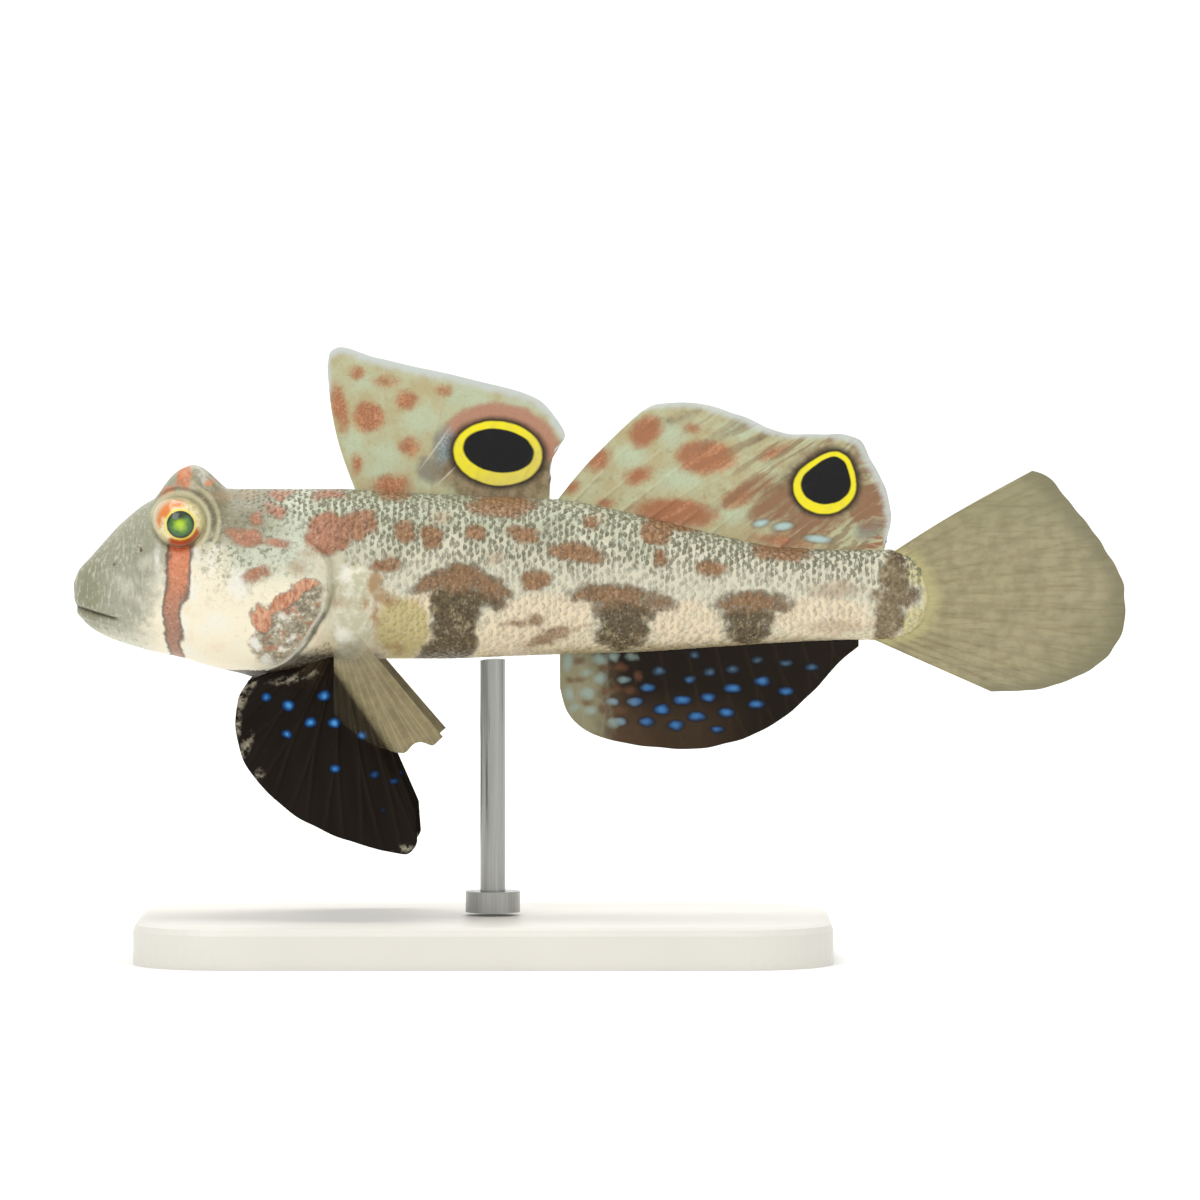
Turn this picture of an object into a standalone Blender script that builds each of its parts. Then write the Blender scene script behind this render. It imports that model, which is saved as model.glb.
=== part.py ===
"""A two-spot goby, life size, swimming with every fin spread, held over a flat base by one rod.

Head towards -X, tail towards +X, up is +Z. The origin is on the floor, under the middle of the fish.
Lengths are in metres. MM turns the millimetres of the tables below into metres.
"""

import math

import bmesh
import bpy
import numpy as np
from mathutils import Matrix, Vector

MM = 0.001
TOTAL_LENGTH = 100.0  # snout to tail margin, mm
AXIS_HEIGHT = 34.0  # the body's axis above the floor, mm
GAP = 0.3  # clearance kept between touching nodes, mm

# The body, all in mm: distance behind the snout, back above the axis, belly, and half width.
BODY_STATIONS = (
    (0.0, 1.7, 0.9, 0.5),
    (0.5, 2.9, -1.3, 2.1),
    (1.5, 4.0, -2.5, 3.2),
    (3.0, 5.7, -3.4, 4.1),
    (4.5, 7.3, -4.0, 4.7),
    (7.2, 9.4, -4.8, 5.5),
    (10.0, 10.5, -5.4, 6.1),
    (13.0, 10.6, -6.3, 6.6),
    (15.6, 10.6, -6.9, 6.9),
    (18.2, 10.6, -7.5, 6.9),
    (21.5, 10.6, -6.9, 6.8),
    (25.0, 10.6, -6.0, 6.5),
    (29.0, 10.4, -5.6, 6.2),
    (35.0, 10.1, -5.6, 5.8),
    (40.5, 9.9, -5.4, 5.4),
    (46.0, 9.6, -5.2, 4.9),
    (53.0, 8.3, -5.0, 4.2),
    (61.0, 6.3, -4.5, 3.4),
    (67.0, 5.1, -4.1, 2.8),
    (74.5, 4.8, -3.8, 2.1),
    (77.2, 4.8, -3.8, 1.8),
    (79.0, 4.3, -3.4, 1.4),
    (80.4, 3.1, -2.4, 1.0),
    (81.2, 0.6, 0.0, 0.4),
)
WAIST = 0.46  # level of the greatest width, as a share of the depth from the belly up
SECTION_POWER = 2.2  # 2 is an ellipse, more is boxier
RING_POINTS = 32

# Where the body is parted into head, trunk and tail stalk.
GILL_CUT = 25.2  # behind the gill cover
GILL_CUT_SLANT = 0.6  # below the axis the cut runs forward by this share of the drop
VENT_CUT = 45.9
BLEND_REACH = 8.0  # rings within this distance of the gill cut lean with it

# Gill cover: height above the axis against the distance of its rear edge behind the snout.
GILL_EDGE = (
    (-6.6, 18.4),
    (-5.7, 20.2),
    (-4.0, 21.9),
    (-2.3, 22.9),
    (-0.5, 24.0),
    (1.5, 24.4),
    (3.8, 24.2),
    (6.3, 21.6),
)
GILL_RISE = 0.55
GILL_LENGTH = 5.5
GILL_SLIT_RADIUS = 0.4
GILL_SLIT_OUT = 0.1
HEAD_RINGS = 34
HEAD_RING_POWER = 1.5
TAIL_RINGS = (74.5, 76.0, 77.2, 78.1, 79.0, 79.8, 80.4, 80.9, 81.2)

EYE_CENTRE = (10.25, 3.45, 7.5)  # behind the snout, to the side, above the axis
EYE_RADIUS = 2.7
EYE_RIM_RADIUS = 2.75
EYE_RIM_THICKNESS = 0.38
EYE_RIM_POINTS = 20
EYE_RIM_OUT = 1.35  # centre of the rim, out from the eye's centre

DOME_CENTRE = (11.1, 3.0, 9.6)
DOME_REACH = 4.3
DOME_HEIGHT = 3.15
DOME_PUSH = (0.0, 0.42, 0.91)

MOUTH_FRONT = (-0.4, -0.35)  # behind the snout, above the axis
MOUTH_CORNER = (4.4, -1.7)
MOUTH_OPENING = 0.45
UPPER_LIP_RADIUS = 0.8
LOWER_LIP_RADIUS = 0.62
LIP_START = 0.75  # the lips' foremost line, behind the snout
LIP_STATIONS = (0.0, 0.08, 0.2, 0.4, 0.6, 0.8, 1.0)
BODY_HALF_REACH = 9.0

NOSTRILS = ((4.2, 3.6), (6.3, 5.0))  # front and rear, on each side
NOSTRIL_RADIUS = 0.42
NOSTRIL_BORE = 0.2
NOSTRIL_HEIGHT = 0.5

# Median fins: margin points (behind the snout, above the axis) from the first ray's tip to the last one's.
# bow is how far forward of a straight line the first and the last ray curve at half length.
FIRST_DORSAL = {
    "root": (27.1, 45.2),
    "margin": ((24.1, 22.2), (24.3, 23.5), (25.3, 24.1), (28.6, 23.1), (33.5, 22.0), (39.9, 20.5),
               (44.0, 19.2), (45.8, 17.3), (46.7, 15.6), (45.6, 14.2), (45.2, 12.4)),
    "rays": 6,
    "bias": 1.1,
    "bow": (0.7, 0.0),
}
SECOND_DORSAL = {
    "root": (45.4, 76.8),
    "margin": ((52.8, 16.9), (54.2, 18.1), (55.6, 18.7), (58.6, 18.8), (63.0, 17.7), (68.4, 15.8),
               (72.8, 15.8), (74.5, 15.4), (75.9, 13.1), (77.3, 10.2), (77.7, 7.8), (77.2, 5.6)),
    "rays": 12,
    "bias": 1.3,
    "bow": (0.4, 0.0),
}
ANAL = {
    "root": (46.2, 74.6),
    "margin": ((46.2, -8.4), (46.7, -10.3), (47.6, -11.6), (49.6, -12.9), (54.0, -13.9), (58.5, -14.2),
               (63.0, -13.4), (67.0, -11.5), (70.5, -8.5), (73.0, -5.7), (74.6, -4.4)),
    "rays": 12,
    "bias": 1.1,
    "bow": (0.0, 0.0),
}
CAUDAL = {
    "root": ((77.0, 4.0), (78.6, 3.3), (79.8, 0.3), (78.4, -2.8), (75.9, -3.7)),
    "margin": ((91.1, 12.3), (92.2, 12.0), (94.6, 9.4), (98.1, 4.8), (99.9, 1.0), (100.0, -1.7),
               (98.6, -5.0), (95.4, -7.3), (90.8, -8.6), (87.2, -8.7)),
    "rays": 15,
    "bow": (0.45, 0.0),
}

# Paired fins, in side view, before they are splayed.
PELVIC = {
    "root": ((23.4, -5.0), (24.4, -5.2), (25.4, -5.2), (26.4, -4.8)),
    "margin": ((16.7, -7.5), (15.7, -9.3), (15.5, -11.6), (16.2, -14.6), (18.4, -17.6), (22.6, -20.8),
               (27.6, -22.7), (31.7, -23.6), (32.8, -22.4), (32.6, -19.6)),
    "rays": 9,
    "bow": (0.0, 0.0),
    "splay": 22.0,
    "out": 2.3,
    "cup": 0.9,
}
PECTORAL = {
    "root": ((24.9, -4.2), (25.6, -3.8), (26.2, -3.2), (26.7, -2.6)),
    "margin": ((24.9, -10.4), (26.4, -11.9), (29.0, -13.5), (31.4, -14.1), (32.9, -13.1), (34.2, -13.4),
               (35.2, -12.6)),
    "rays": 10,
    "bow": (0.0, 0.0),
    "splay": 13.0,
    "out": 6.3,
    "cup": 0.6,
}
LOBE_TOP = (27.2, 3.6)
LOBE_BOTTOM = (26.0, -5.6)
LOBE_HALF_LENGTH = 2.0
LOBE_HALF_THICKNESS = 1.25

COLUMNS_PER_RAY = 3  # columns of faces from one ray to the next
RIDGE_SIDE = 0.16  # how far a ridge reaches from its ray, as a share of the way to the next
ROW_COUNT = 5  # rows of faces along a ray
MEMBRANE = 0.5  # thickness of the fins' membrane
RAY = 0.95  # thickness over a ray at its root
RAY_TIP = 0.62
MARGIN_SHARE = 0.6  # the membrane thins to this share at the margin
SCALLOP = 0.015  # the margin draws in between the rays by this share
WAVE = 0.45  # the median fins sway this far to the side
WAVE_TURNS = 1.3
ROOT_SINK = 0.9  # fins start this deep in the body, before they are cut clear of it

BASE_LENGTH = 66.0
BASE_WIDTH = 36.0
BASE_THICKNESS = 4.0
BASE_CORNER = 9.0
BASE_EDGE = 0.8
BASE_CENTRE = -11.0  # the base's centre along X
ROD_DISTANCE = 39.8  # behind the snout
ROD_RADIUS = 1.2
COLLAR_RADIUS = 2.6
COLLAR_HEIGHT = 2.0

COLOURS = {
    "skin": ((0.62, 0.58, 0.47), 0.45, 0.0),
    "eye": ((0.16, 0.42, 0.05), 0.08, 0.0),
    "dorsal": ((0.55, 0.55, 0.40), 0.45, 0.0),
    "black_fin": ((0.018, 0.014, 0.010), 0.40, 0.0),
    "clear_fin": ((0.40, 0.35, 0.23), 0.40, 0.0),
    "base": ((0.80, 0.79, 0.76), 0.45, 0.0),
    "steel": ((0.62, 0.62, 0.60), 0.28, 1.0),
}


def material(name):
    """A Principled material of this name, made once."""
    found = bpy.data.materials.get(name)
    if found:
        return found
    made = bpy.data.materials.new(name)
    made.use_nodes = True
    colour, roughness, metallic = COLOURS[name]
    shader = made.node_tree.nodes["Principled BSDF"]
    shader.inputs["Base Color"].default_value = (*colour, 1.0)
    shader.inputs["Roughness"].default_value = roughness
    shader.inputs["Metallic"].default_value = metallic
    return made


def place(s, y, z):
    """A point s behind the snout, y to the fish's right and z above its axis, in world metres."""
    return Vector(((s - TOTAL_LENGTH / 2) * MM, y * MM, (z + AXIS_HEIGHT) * MM))


def smooth_through(points, at):
    """Values of a smooth curve through (x, value, value...) rows, read at x = at."""
    table = np.array(points, float)
    x, values = table[:, 0], table[:, 1:]
    steps = np.diff(x)[:, None]
    slopes = np.diff(values, axis=0) / steps
    tangents = np.zeros_like(values)
    tangents[0], tangents[-1] = slopes[0], slopes[-1]
    same_way = slopes[:-1] * slopes[1:] > 0
    both = slopes[:-1] + slopes[1:]
    tangents[1:-1] = np.where(same_way, 2 * slopes[:-1] * slopes[1:] / np.where(both == 0, 1, both), 0)
    at = min(max(at, x[0]), x[-1])
    i = min(int(np.searchsorted(x, at, side="right")) - 1, len(x) - 2)
    step = steps[i, 0]
    t = (at - x[i]) / step
    return (
        (2 * t**3 - 3 * t**2 + 1) * values[i]
        + (t**3 - 2 * t**2 + t) * step * tangents[i]
        + (3 * t**2 - 2 * t**3) * values[i + 1]
        + (t**3 - t**2) * step * tangents[i + 1]
    )


def along(points, share):
    """The point at this share of the length of a smooth curve through the given points."""
    line = np.array(points, float)
    distance = np.concatenate([[0], np.cumsum(np.linalg.norm(np.diff(line, axis=0), axis=1))])
    rows = np.column_stack([distance / distance[-1], line])
    return smooth_through(rows, share)


def section(s):
    """Back, belly, half width and level of greatest width at s."""
    top, bottom, half = smooth_through(BODY_STATIONS, s)
    return top, bottom, half, bottom + WAIST * (top - bottom)


def flank(s, z):
    """Half width of the body at s and height z, before the folds of the head are added."""
    top, bottom, half, middle = section(s)
    share = (z - middle) / ((top if z > middle else bottom) - middle)
    return half * max(0.0, 1 - min(abs(share), 1) ** SECTION_POWER) ** (1 / SECTION_POWER)


def bell(distance, reach):
    """1 at no distance, falling smoothly to 0 at reach."""
    return max(0.0, 1 - (distance / reach) ** 2) ** 2


def gill_cover_rise(s, z):
    """How far the gill cover stands out at this place of the flank."""
    low, high = GILL_EDGE[0][0], GILL_EDGE[-1][0]
    if not low < z < high:
        return 0.0
    ahead = float(smooth_through(GILL_EDGE, z)[0]) - s
    ends = min(1.0, (z - low) / 1.5, (high - z) / 2.5)
    if ahead < 0:
        return 0.0
    return GILL_RISE * ends * max(0.0, 1 - ahead / GILL_LENGTH)


def head_folds(s, y, z):
    """The domes over the eyes and the raised gill cover, as a shift of a surface point."""
    side = 1 if y >= 0 else -1
    centre = Vector((DOME_CENTRE[0], side * DOME_CENTRE[1], DOME_CENTRE[2]))
    rise = DOME_HEIGHT * bell((Vector((s, y, z)) - centre).length, DOME_REACH)
    out = DOME_PUSH[1] * rise * min(1, abs(y)) + gill_cover_rise(s, z)
    return Vector((0.0, side * out, DOME_PUSH[2] * rise))


def gill_lean(s, z):
    """Rings near the gill cut lean forward below the axis, as the cut does."""
    return GILL_CUT_SLANT * min(0.0, z) * bell(s - GILL_CUT, BLEND_REACH)


def ring(s):
    """Points round the body at s, clockwise seen from the snout."""
    points = []
    for k in range(RING_POINTS):
        angle = 2 * math.pi * k / RING_POINTS
        across, up = math.cos(angle), math.sin(angle)
        shape_y = math.copysign(abs(across) ** (2 / SECTION_POWER), across)
        shape_z = math.copysign(abs(up) ** (2 / SECTION_POWER), up)
        at = s
        for _ in range(3):
            top, bottom, half, middle = section(at)
            z = middle + ((top - middle) if up > 0 else (middle - bottom)) * shape_z
            at = s + gill_lean(s, z)
        y = half * shape_y
        shift = head_folds(at, y, z)
        points.append(place(at, y + shift.y, z + shift.z))
    return points


def new_object(name, mesh, material_name=None):
    made = bpy.data.objects.new(name, mesh)
    bpy.context.scene.collection.objects.link(made)
    if material_name:
        mesh.materials.append(material(material_name))
    return made


def loft(name, distances, material_name=None):
    """A closed body through the rings at these distances behind the snout."""
    bm = bmesh.new()
    rings = [[bm.verts.new(p) for p in ring(s)] for s in distances]
    for ahead, behind in zip(rings, rings[1:]):
        for k in range(RING_POINTS):
            after = (k + 1) % RING_POINTS
            bm.faces.new((ahead[k], behind[k], behind[after], ahead[after]))
    for end in (rings[0], rings[-1]):
        middle = bm.verts.new(sum((v.co for v in end), Vector()) / RING_POINTS)
        for k in range(RING_POINTS):
            bm.faces.new((middle, end[k], end[(k + 1) % RING_POINTS]))
    bmesh.ops.recalc_face_normals(bm, faces=bm.faces)
    bmesh.ops.triangulate(bm, faces=bm.faces)
    mesh = bpy.data.meshes.new(name)
    bm.to_mesh(mesh)
    bm.free()
    mesh.shade_smooth()
    return new_object(name, mesh, material_name)


def apply_modifiers(obj):
    """Bakes the modifiers into the mesh, then keeps only the largest closed surface."""
    graph = bpy.context.evaluated_depsgraph_get()
    mesh = bpy.data.meshes.new_from_object(obj.evaluated_get(graph))
    obj.modifiers.clear()
    obj.data = mesh
    bm = bmesh.new()
    bm.from_mesh(mesh)
    unseen, pieces = set(bm.verts), []
    while unseen:
        piece, edge_of_piece = set(), [unseen.pop()]
        while edge_of_piece:
            vert = edge_of_piece.pop()
            piece.add(vert)
            for near in (e.other_vert(vert) for e in vert.link_edges):
                if near in unseen:
                    unseen.remove(near)
                    edge_of_piece.append(near)
        pieces.append(piece)
    pieces.sort(key=len)
    bmesh.ops.delete(bm, geom=[v for piece in pieces[:-1] for v in piece], context="VERTS")
    bm.to_mesh(mesh)
    bm.free()


def boolean(obj, operation, others):
    """Joins or cuts with closed mesh objects, which are then removed."""
    collection = bpy.data.collections.new("tools")
    bpy.context.scene.collection.children.link(collection)
    for other in others:
        collection.objects.link(other)
    modifier = obj.modifiers.new(operation.lower(), "BOOLEAN")
    modifier.operation = operation
    modifier.operand_type = "COLLECTION"
    modifier.collection = collection
    modifier.solver = "EXACT"
    apply_modifiers(obj)
    for other in others:
        bpy.data.objects.remove(other)
    bpy.data.collections.remove(collection)


def ball(name, centre, radius, segments, rings, material_name=None):
    bm = bmesh.new()
    bmesh.ops.create_uvsphere(bm, u_segments=segments, v_segments=rings, radius=radius * MM)
    bmesh.ops.rotate(bm, verts=bm.verts, matrix=Matrix.Rotation(math.pi / 2, 3, "X"))
    bmesh.ops.translate(bm, verts=bm.verts, vec=centre)
    bmesh.ops.triangulate(bm, faces=bm.faces)
    mesh = bpy.data.meshes.new(name)
    bm.to_mesh(mesh)
    bm.free()
    mesh.shade_smooth()
    return new_object(name, mesh, material_name)


def tube(name, points, radius, sides=8, closed=False):
    """A round tube through points in world metres, with filled ends unless it closes on itself."""
    curve = bpy.data.curves.new(name, "CURVE")
    curve.dimensions = "3D"
    curve.bevel_depth = radius * MM
    curve.bevel_resolution = sides // 2 - 2
    curve.use_fill_caps = not closed
    spline = curve.splines.new("POLY")
    spline.points.add(len(points) - 1)
    for spline_point, point in zip(spline.points, points):
        spline_point.co = (*point, 1.0)
    spline.use_cyclic_u = closed
    guide = bpy.data.objects.new(name, curve)
    bpy.context.scene.collection.objects.link(guide)
    mesh = bpy.data.meshes.new_from_object(guide.evaluated_get(bpy.context.evaluated_depsgraph_get()))
    bpy.data.objects.remove(guide)
    bm = bmesh.new()
    bm.from_mesh(mesh)
    bmesh.ops.remove_doubles(bm, verts=bm.verts, dist=1e-7)
    bmesh.ops.recalc_face_normals(bm, faces=bm.faces)
    bmesh.ops.triangulate(bm, faces=bm.faces)
    bm.to_mesh(mesh)
    bm.free()
    return new_object(name, mesh)


def sheet(name, centre, columns, rows, thickness, material_name):
    """A closed fin through centre(u, v). Its thickness varies, and both faces are split alike."""
    bm = bmesh.new()
    bmesh.ops.create_grid(bm, x_segments=columns, y_segments=rows, size=0.5)
    layer = bm.verts.layers.deform.verify()
    most = RAY * MM
    for vert in bm.verts:
        u, v = vert.co.x + 0.5, vert.co.y + 0.5
        vert.co = centre(u, v)
        vert[layer][0] = thickness(u, v) * MM / most
    bmesh.ops.triangulate(bm, faces=bm.faces, quad_method="FIXED")
    mesh = bpy.data.meshes.new(name)
    bm.to_mesh(mesh)
    bm.free()
    made = new_object(name, mesh, material_name)
    made.vertex_groups.new(name="thickness")
    solid = made.modifiers.new("solid", "SOLIDIFY")
    solid.thickness = most
    solid.offset = 0.0
    solid.vertex_group = "thickness"
    apply_modifiers(made)
    made.data.shade_smooth()
    return made


def column_share(u, rays):
    """Moves the grid's columns so that each ray has one on its ridge and one close on each side of it."""
    place_in_row = u * (rays - 1)
    ray = math.floor(place_in_row + 1e-6)
    part = place_in_row - ray
    moved = float(np.interp(part, (0, 1 / 3, 2 / 3, 1), (0, RIDGE_SIDE, 1 - RIDGE_SIDE, 1)))
    return (ray + moved) / (rays - 1)


def off_ray(u, rays):
    """0 on a ray, 1 midway between two."""
    part = (u * (rays - 1)) % 1.0
    return 2 * min(part, 1 - part)


def fin(name, spec, root, tip, aside, material_name):
    """A rayed fin. root(u) and tip(u) give points in side view, aside(u, v, z) the sideways place."""
    rays, bow = spec["rays"], spec["bow"]

    def centre(u, v):
        u = column_share(u, rays)
        start, end = np.array(root(u)), np.array(tip(u))
        reach = v * (1 - SCALLOP * v * off_ray(u, rays))
        s, z = start + (end - start) * reach
        s -= (bow[0] + (bow[1] - bow[0]) * u) * math.sin(math.pi * v)
        return place(s, aside(u, v, z), z)

    def thickness(u, v):
        u = column_share(u, rays)
        ridge = RAY + (RAY_TIP - RAY) * v
        between = MEMBRANE if v < 0.9 else MEMBRANE * MARGIN_SHARE
        return ridge if off_ray(u, rays) < 0.01 else between

    return sheet(name, centre, (rays - 1) * COLUMNS_PER_RAY, ROW_COUNT, thickness, material_name)


def median_fin(name, spec, edge, material_name):
    """A fin on the back or the belly. edge is 0 for the back's line and 1 for the belly's."""
    sink = ROOT_SINK if edge else -ROOT_SINK
    first, last = spec["root"]

    def root(u):
        s = first + (last - first) * u ** spec["bias"]
        return s, section(s)[edge] + sink

    def tip(u):
        return along(spec["margin"], u ** (1 / spec["bias"]))

    def aside(u, v, z):
        return WAVE * v * math.sin(2 * math.pi * (WAVE_TURNS * u + 0.15))

    return fin(name, spec, root, tip, aside, material_name)


def tail_fin():
    def aside(u, v, z):
        return WAVE * v * math.sin(math.pi * (u * 1.2 + 0.1))

    def root(u):
        return along(CAUDAL["root"], u)

    def tip(u):
        return along(CAUDAL["margin"], u)

    return fin("caudal_fin", CAUDAL, root, tip, aside, "clear_fin")


def paired_fin(name, side, spec, material_name):
    """A fin that hangs from one side of the body and is splayed outwards below its root."""
    slope = math.tan(math.radians(spec["splay"]))
    level = max(z for _, z in spec["root"])

    def root(u):
        return along(spec["root"], u)

    def tip(u):
        return along(spec["margin"], u)

    def aside(u, v, z):
        return side * (spec["out"] + (level - z) * slope + spec["cup"] * math.sin(math.pi * u) * v * v)

    return fin(name, spec, root, tip, aside, material_name)


def lobe(side):
    """The fleshy base that a pectoral fin grows from."""
    top, bottom = Vector(LOBE_TOP), Vector(LOBE_BOTTOM)
    middle, axis = (top + bottom) / 2, top - bottom
    out = flank(middle.x, middle.y)
    made = ball("lobe", Vector(), 1 / MM, 16, 10)
    size = Matrix.Diagonal((LOBE_HALF_LENGTH * MM, LOBE_HALF_THICKNESS * MM, axis.length / 2 * MM, 1))
    turn = Matrix.Rotation(math.atan2(axis.x, axis.y), 4, "Y")
    made.data.transform(Matrix.Translation(place(middle.x, side * out, middle.y)) @ turn @ size)
    return made


def mouth_cutter():
    """A wedge that opens the mouth: deepest in front, closing at the corners."""
    front, corner = Vector(MOUTH_FRONT), Vector(MOUTH_CORNER)
    way = (corner - front).normalized()
    start = front - 2 * way
    profile = (
        start + Vector((0, MOUTH_OPENING / 2)), corner + Vector((0, MOUTH_OPENING / 6)),
        corner - Vector((0, MOUTH_OPENING / 6)), start - Vector((0, MOUTH_OPENING / 2)),
    )
    bm = bmesh.new()
    face = bm.faces.new([bm.verts.new(place(p.x, -BODY_HALF_REACH, p.y)) for p in profile])
    grown = bmesh.ops.extrude_face_region(bm, geom=[face])["geom"]
    moved = [v for v in grown if isinstance(v, bmesh.types.BMVert)]
    bmesh.ops.translate(bm, verts=moved, vec=(0, 2 * BODY_HALF_REACH * MM, 0))
    bmesh.ops.recalc_face_normals(bm, faces=bm.faces)
    mesh = bpy.data.meshes.new("mouth")
    bm.to_mesh(mesh)
    bm.free()
    return new_object("mouth", mesh)


def lip(name, rise, radius):
    """A lip round the front of the mouth, rise above its line, thinner at the corners."""
    front, corner = Vector(MOUTH_FRONT), Vector(MOUTH_CORNER)
    half = []
    for share in LIP_STATIONS:
        s = LIP_START + (corner.x - LIP_START) * share
        z = front.y + (corner.y - front.y) * share + rise * (1 - 0.5 * share)
        half.append((s, flank(s, z) - 0.25 * radius, z))
    points = [place(s, y, z) for s, y, z in reversed(half)] + [place(s, -y, z) for s, y, z in half]
    return tube(name, points, radius, 8)


def on_flank(side, s, z, out=0.0):
    return place(s, side * (flank(s, z) + out), z)


def eye_point(side, out=0.0):
    return place(EYE_CENTRE[0], side * (EYE_CENTRE[1] + out), EYE_CENTRE[2])


def eye_rim(side):
    middle = eye_point(side, EYE_RIM_OUT)
    points = []
    for k in range(EYE_RIM_POINTS):
        angle = 2 * math.pi * k / EYE_RIM_POINTS
        points.append(middle + Vector((math.cos(angle), 0, math.sin(angle))) * EYE_RIM_RADIUS * MM)
    return tube("rim", points, EYE_RIM_THICKNESS, 6, closed=True)


def nostril(side, s, z, radius, start, end):
    """A short tube, or the bore down it, standing out of the snout."""
    way = Vector((-0.35, 0.75 * side, 0.55)).normalized()
    root = on_flank(side, s, z)
    return tube("nostril", [root + way * start * MM, root + way * end * MM], radius, 8)


def gill_slit(side):
    points = [on_flank(side, s + GILL_SLIT_RADIUS, z, GILL_SLIT_OUT) for z, s in GILL_EDGE]
    return tube("gill_slit", points, GILL_SLIT_RADIUS, 6)


def evenly(start, end, count):
    return [start + (end - start) * k / count for k in range(count + 1)]


def head_distances():
    """Rings of the head, closer together towards the snout."""
    return [GILL_CUT * share ** HEAD_RING_POWER for share in evenly(0, 1, HEAD_RINGS)]


def tail_distances():
    """Rings of the tail stalk, closer together where it rounds off."""
    return evenly(VENT_CUT + GAP, TAIL_RINGS[0], 12) + list(TAIL_RINGS[1:])


def make_head():
    head = loft("head", head_distances(), "skin")
    both = (-1, 1)
    joined = [eye_rim(side) for side in both]
    joined += [lip("upper_lip", UPPER_LIP_RADIUS * 0.95, UPPER_LIP_RADIUS)]
    joined += [lip("lower_lip", -LOWER_LIP_RADIUS * 0.95, LOWER_LIP_RADIUS)]
    openings = [(side, s, z) for side in both for s, z in NOSTRILS]
    joined += [nostril(*opening, NOSTRIL_RADIUS, -0.6, NOSTRIL_HEIGHT) for opening in openings]
    boolean(head, "UNION", joined)
    cut = [ball("socket", eye_point(side), EYE_RADIUS + GAP, 24, 12) for side in both]
    cut += [nostril(*opening, NOSTRIL_BORE, -0.3, 2.0) for opening in openings]
    cut += [mouth_cutter()]
    cut += [gill_slit(side) for side in both]
    boolean(head, "DIFFERENCE", cut)
    head.data.set_sharp_from_angle(angle=math.radians(50))


def clearance_body():
    """The whole body grown by the gap, which the fins and the rod are cut clear of."""
    distances = head_distances() + evenly(GILL_CUT, VENT_CUT, 12)[1:] + tail_distances()[1:]
    grown = loft("clearance", distances)
    bm = bmesh.new()
    bm.from_mesh(grown.data)
    shifts = [v.normal * v.calc_shell_factor() * GAP * MM for v in bm.verts]
    for vert, shift in zip(bm.verts, shifts):
        vert.co += shift
    bm.to_mesh(grown.data)
    bm.free()
    return grown


def cut_clear(obj):
    boolean(obj, "DIFFERENCE", [clearance_body()])
    obj.data.shade_smooth()
    obj.data.set_sharp_from_angle(angle=math.radians(60))


def make_body():
    make_head()
    loft("trunk", evenly(GILL_CUT + GAP, VENT_CUT, 12), "skin")
    loft("tail_stalk", tail_distances(), "skin")
    for side, name in ((-1, "left"), (1, "right")):
        ball(f"eye_{name}", eye_point(side), EYE_RADIUS, 20, 12, "eye")


def make_fins():
    cut_clear(median_fin("first_dorsal_fin", FIRST_DORSAL, 0, "dorsal"))
    cut_clear(median_fin("second_dorsal_fin", SECOND_DORSAL, 0, "dorsal"))
    cut_clear(median_fin("anal_fin", ANAL, 1, "black_fin"))
    cut_clear(tail_fin())
    for side, name in ((-1, "left"), (1, "right")):
        cut_clear(paired_fin(f"pelvic_fin_{name}", side, PELVIC, "black_fin"))
        pectoral = paired_fin(f"pectoral_fin_{name}", side, PECTORAL, "clear_fin")
        boolean(pectoral, "UNION", [lobe(side)])
        cut_clear(pectoral)


def make_stand():
    bm = bmesh.new()
    bmesh.ops.create_cube(bm, size=1)
    bmesh.ops.scale(bm, verts=bm.verts, vec=(BASE_LENGTH * MM, BASE_WIDTH * MM, BASE_THICKNESS * MM))
    bmesh.ops.translate(bm, verts=bm.verts, vec=(BASE_CENTRE * MM, 0, BASE_THICKNESS / 2 * MM))
    upright = [e for e in bm.edges if abs(e.verts[0].co.z - e.verts[1].co.z) > 1e-6]
    bmesh.ops.bevel(bm, geom=upright, offset=BASE_CORNER * MM, segments=12, affect="EDGES", profile=0.5)
    top = [e for e in bm.edges if all(v.co.z > (BASE_THICKNESS - 0.01) * MM for v in e.verts)]
    bmesh.ops.bevel(bm, geom=top, offset=BASE_EDGE * MM, segments=2, affect="EDGES", profile=0.5)
    mesh = bpy.data.meshes.new("stand_base")
    bm.to_mesh(mesh)
    bm.free()
    mesh.shade_smooth()
    mesh.set_sharp_from_angle(angle=math.radians(35))
    new_object("stand_base", mesh, "base")
    foot = place(ROD_DISTANCE, 0, 0)
    foot.z = (BASE_THICKNESS + GAP) * MM
    collar_middle = foot + Vector((0, 0, COLLAR_HEIGHT * MM / 2))
    collar_top = foot + Vector((0, 0, COLLAR_HEIGHT * MM))
    belly = place(ROD_DISTANCE, 0, section(ROD_DISTANCE)[1] + 1.0)
    rod = tube("stand_rod", [collar_middle, belly], ROD_RADIUS, 32)
    boolean(rod, "UNION", [tube("collar", [foot, collar_top], COLLAR_RADIUS, 32)])
    rod.data.materials.append(material("steel"))
    cut_clear(rod)


for leftover in list(bpy.data.objects):
    bpy.data.objects.remove(leftover)
make_body()
make_fins()
make_stand()
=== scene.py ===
# Two-spot goby, life size, dressed over its solid model: skin, scales, fins, eyes, stand and studio.
import math

import bpy
import numpy as np
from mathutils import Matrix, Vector, noise


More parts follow.
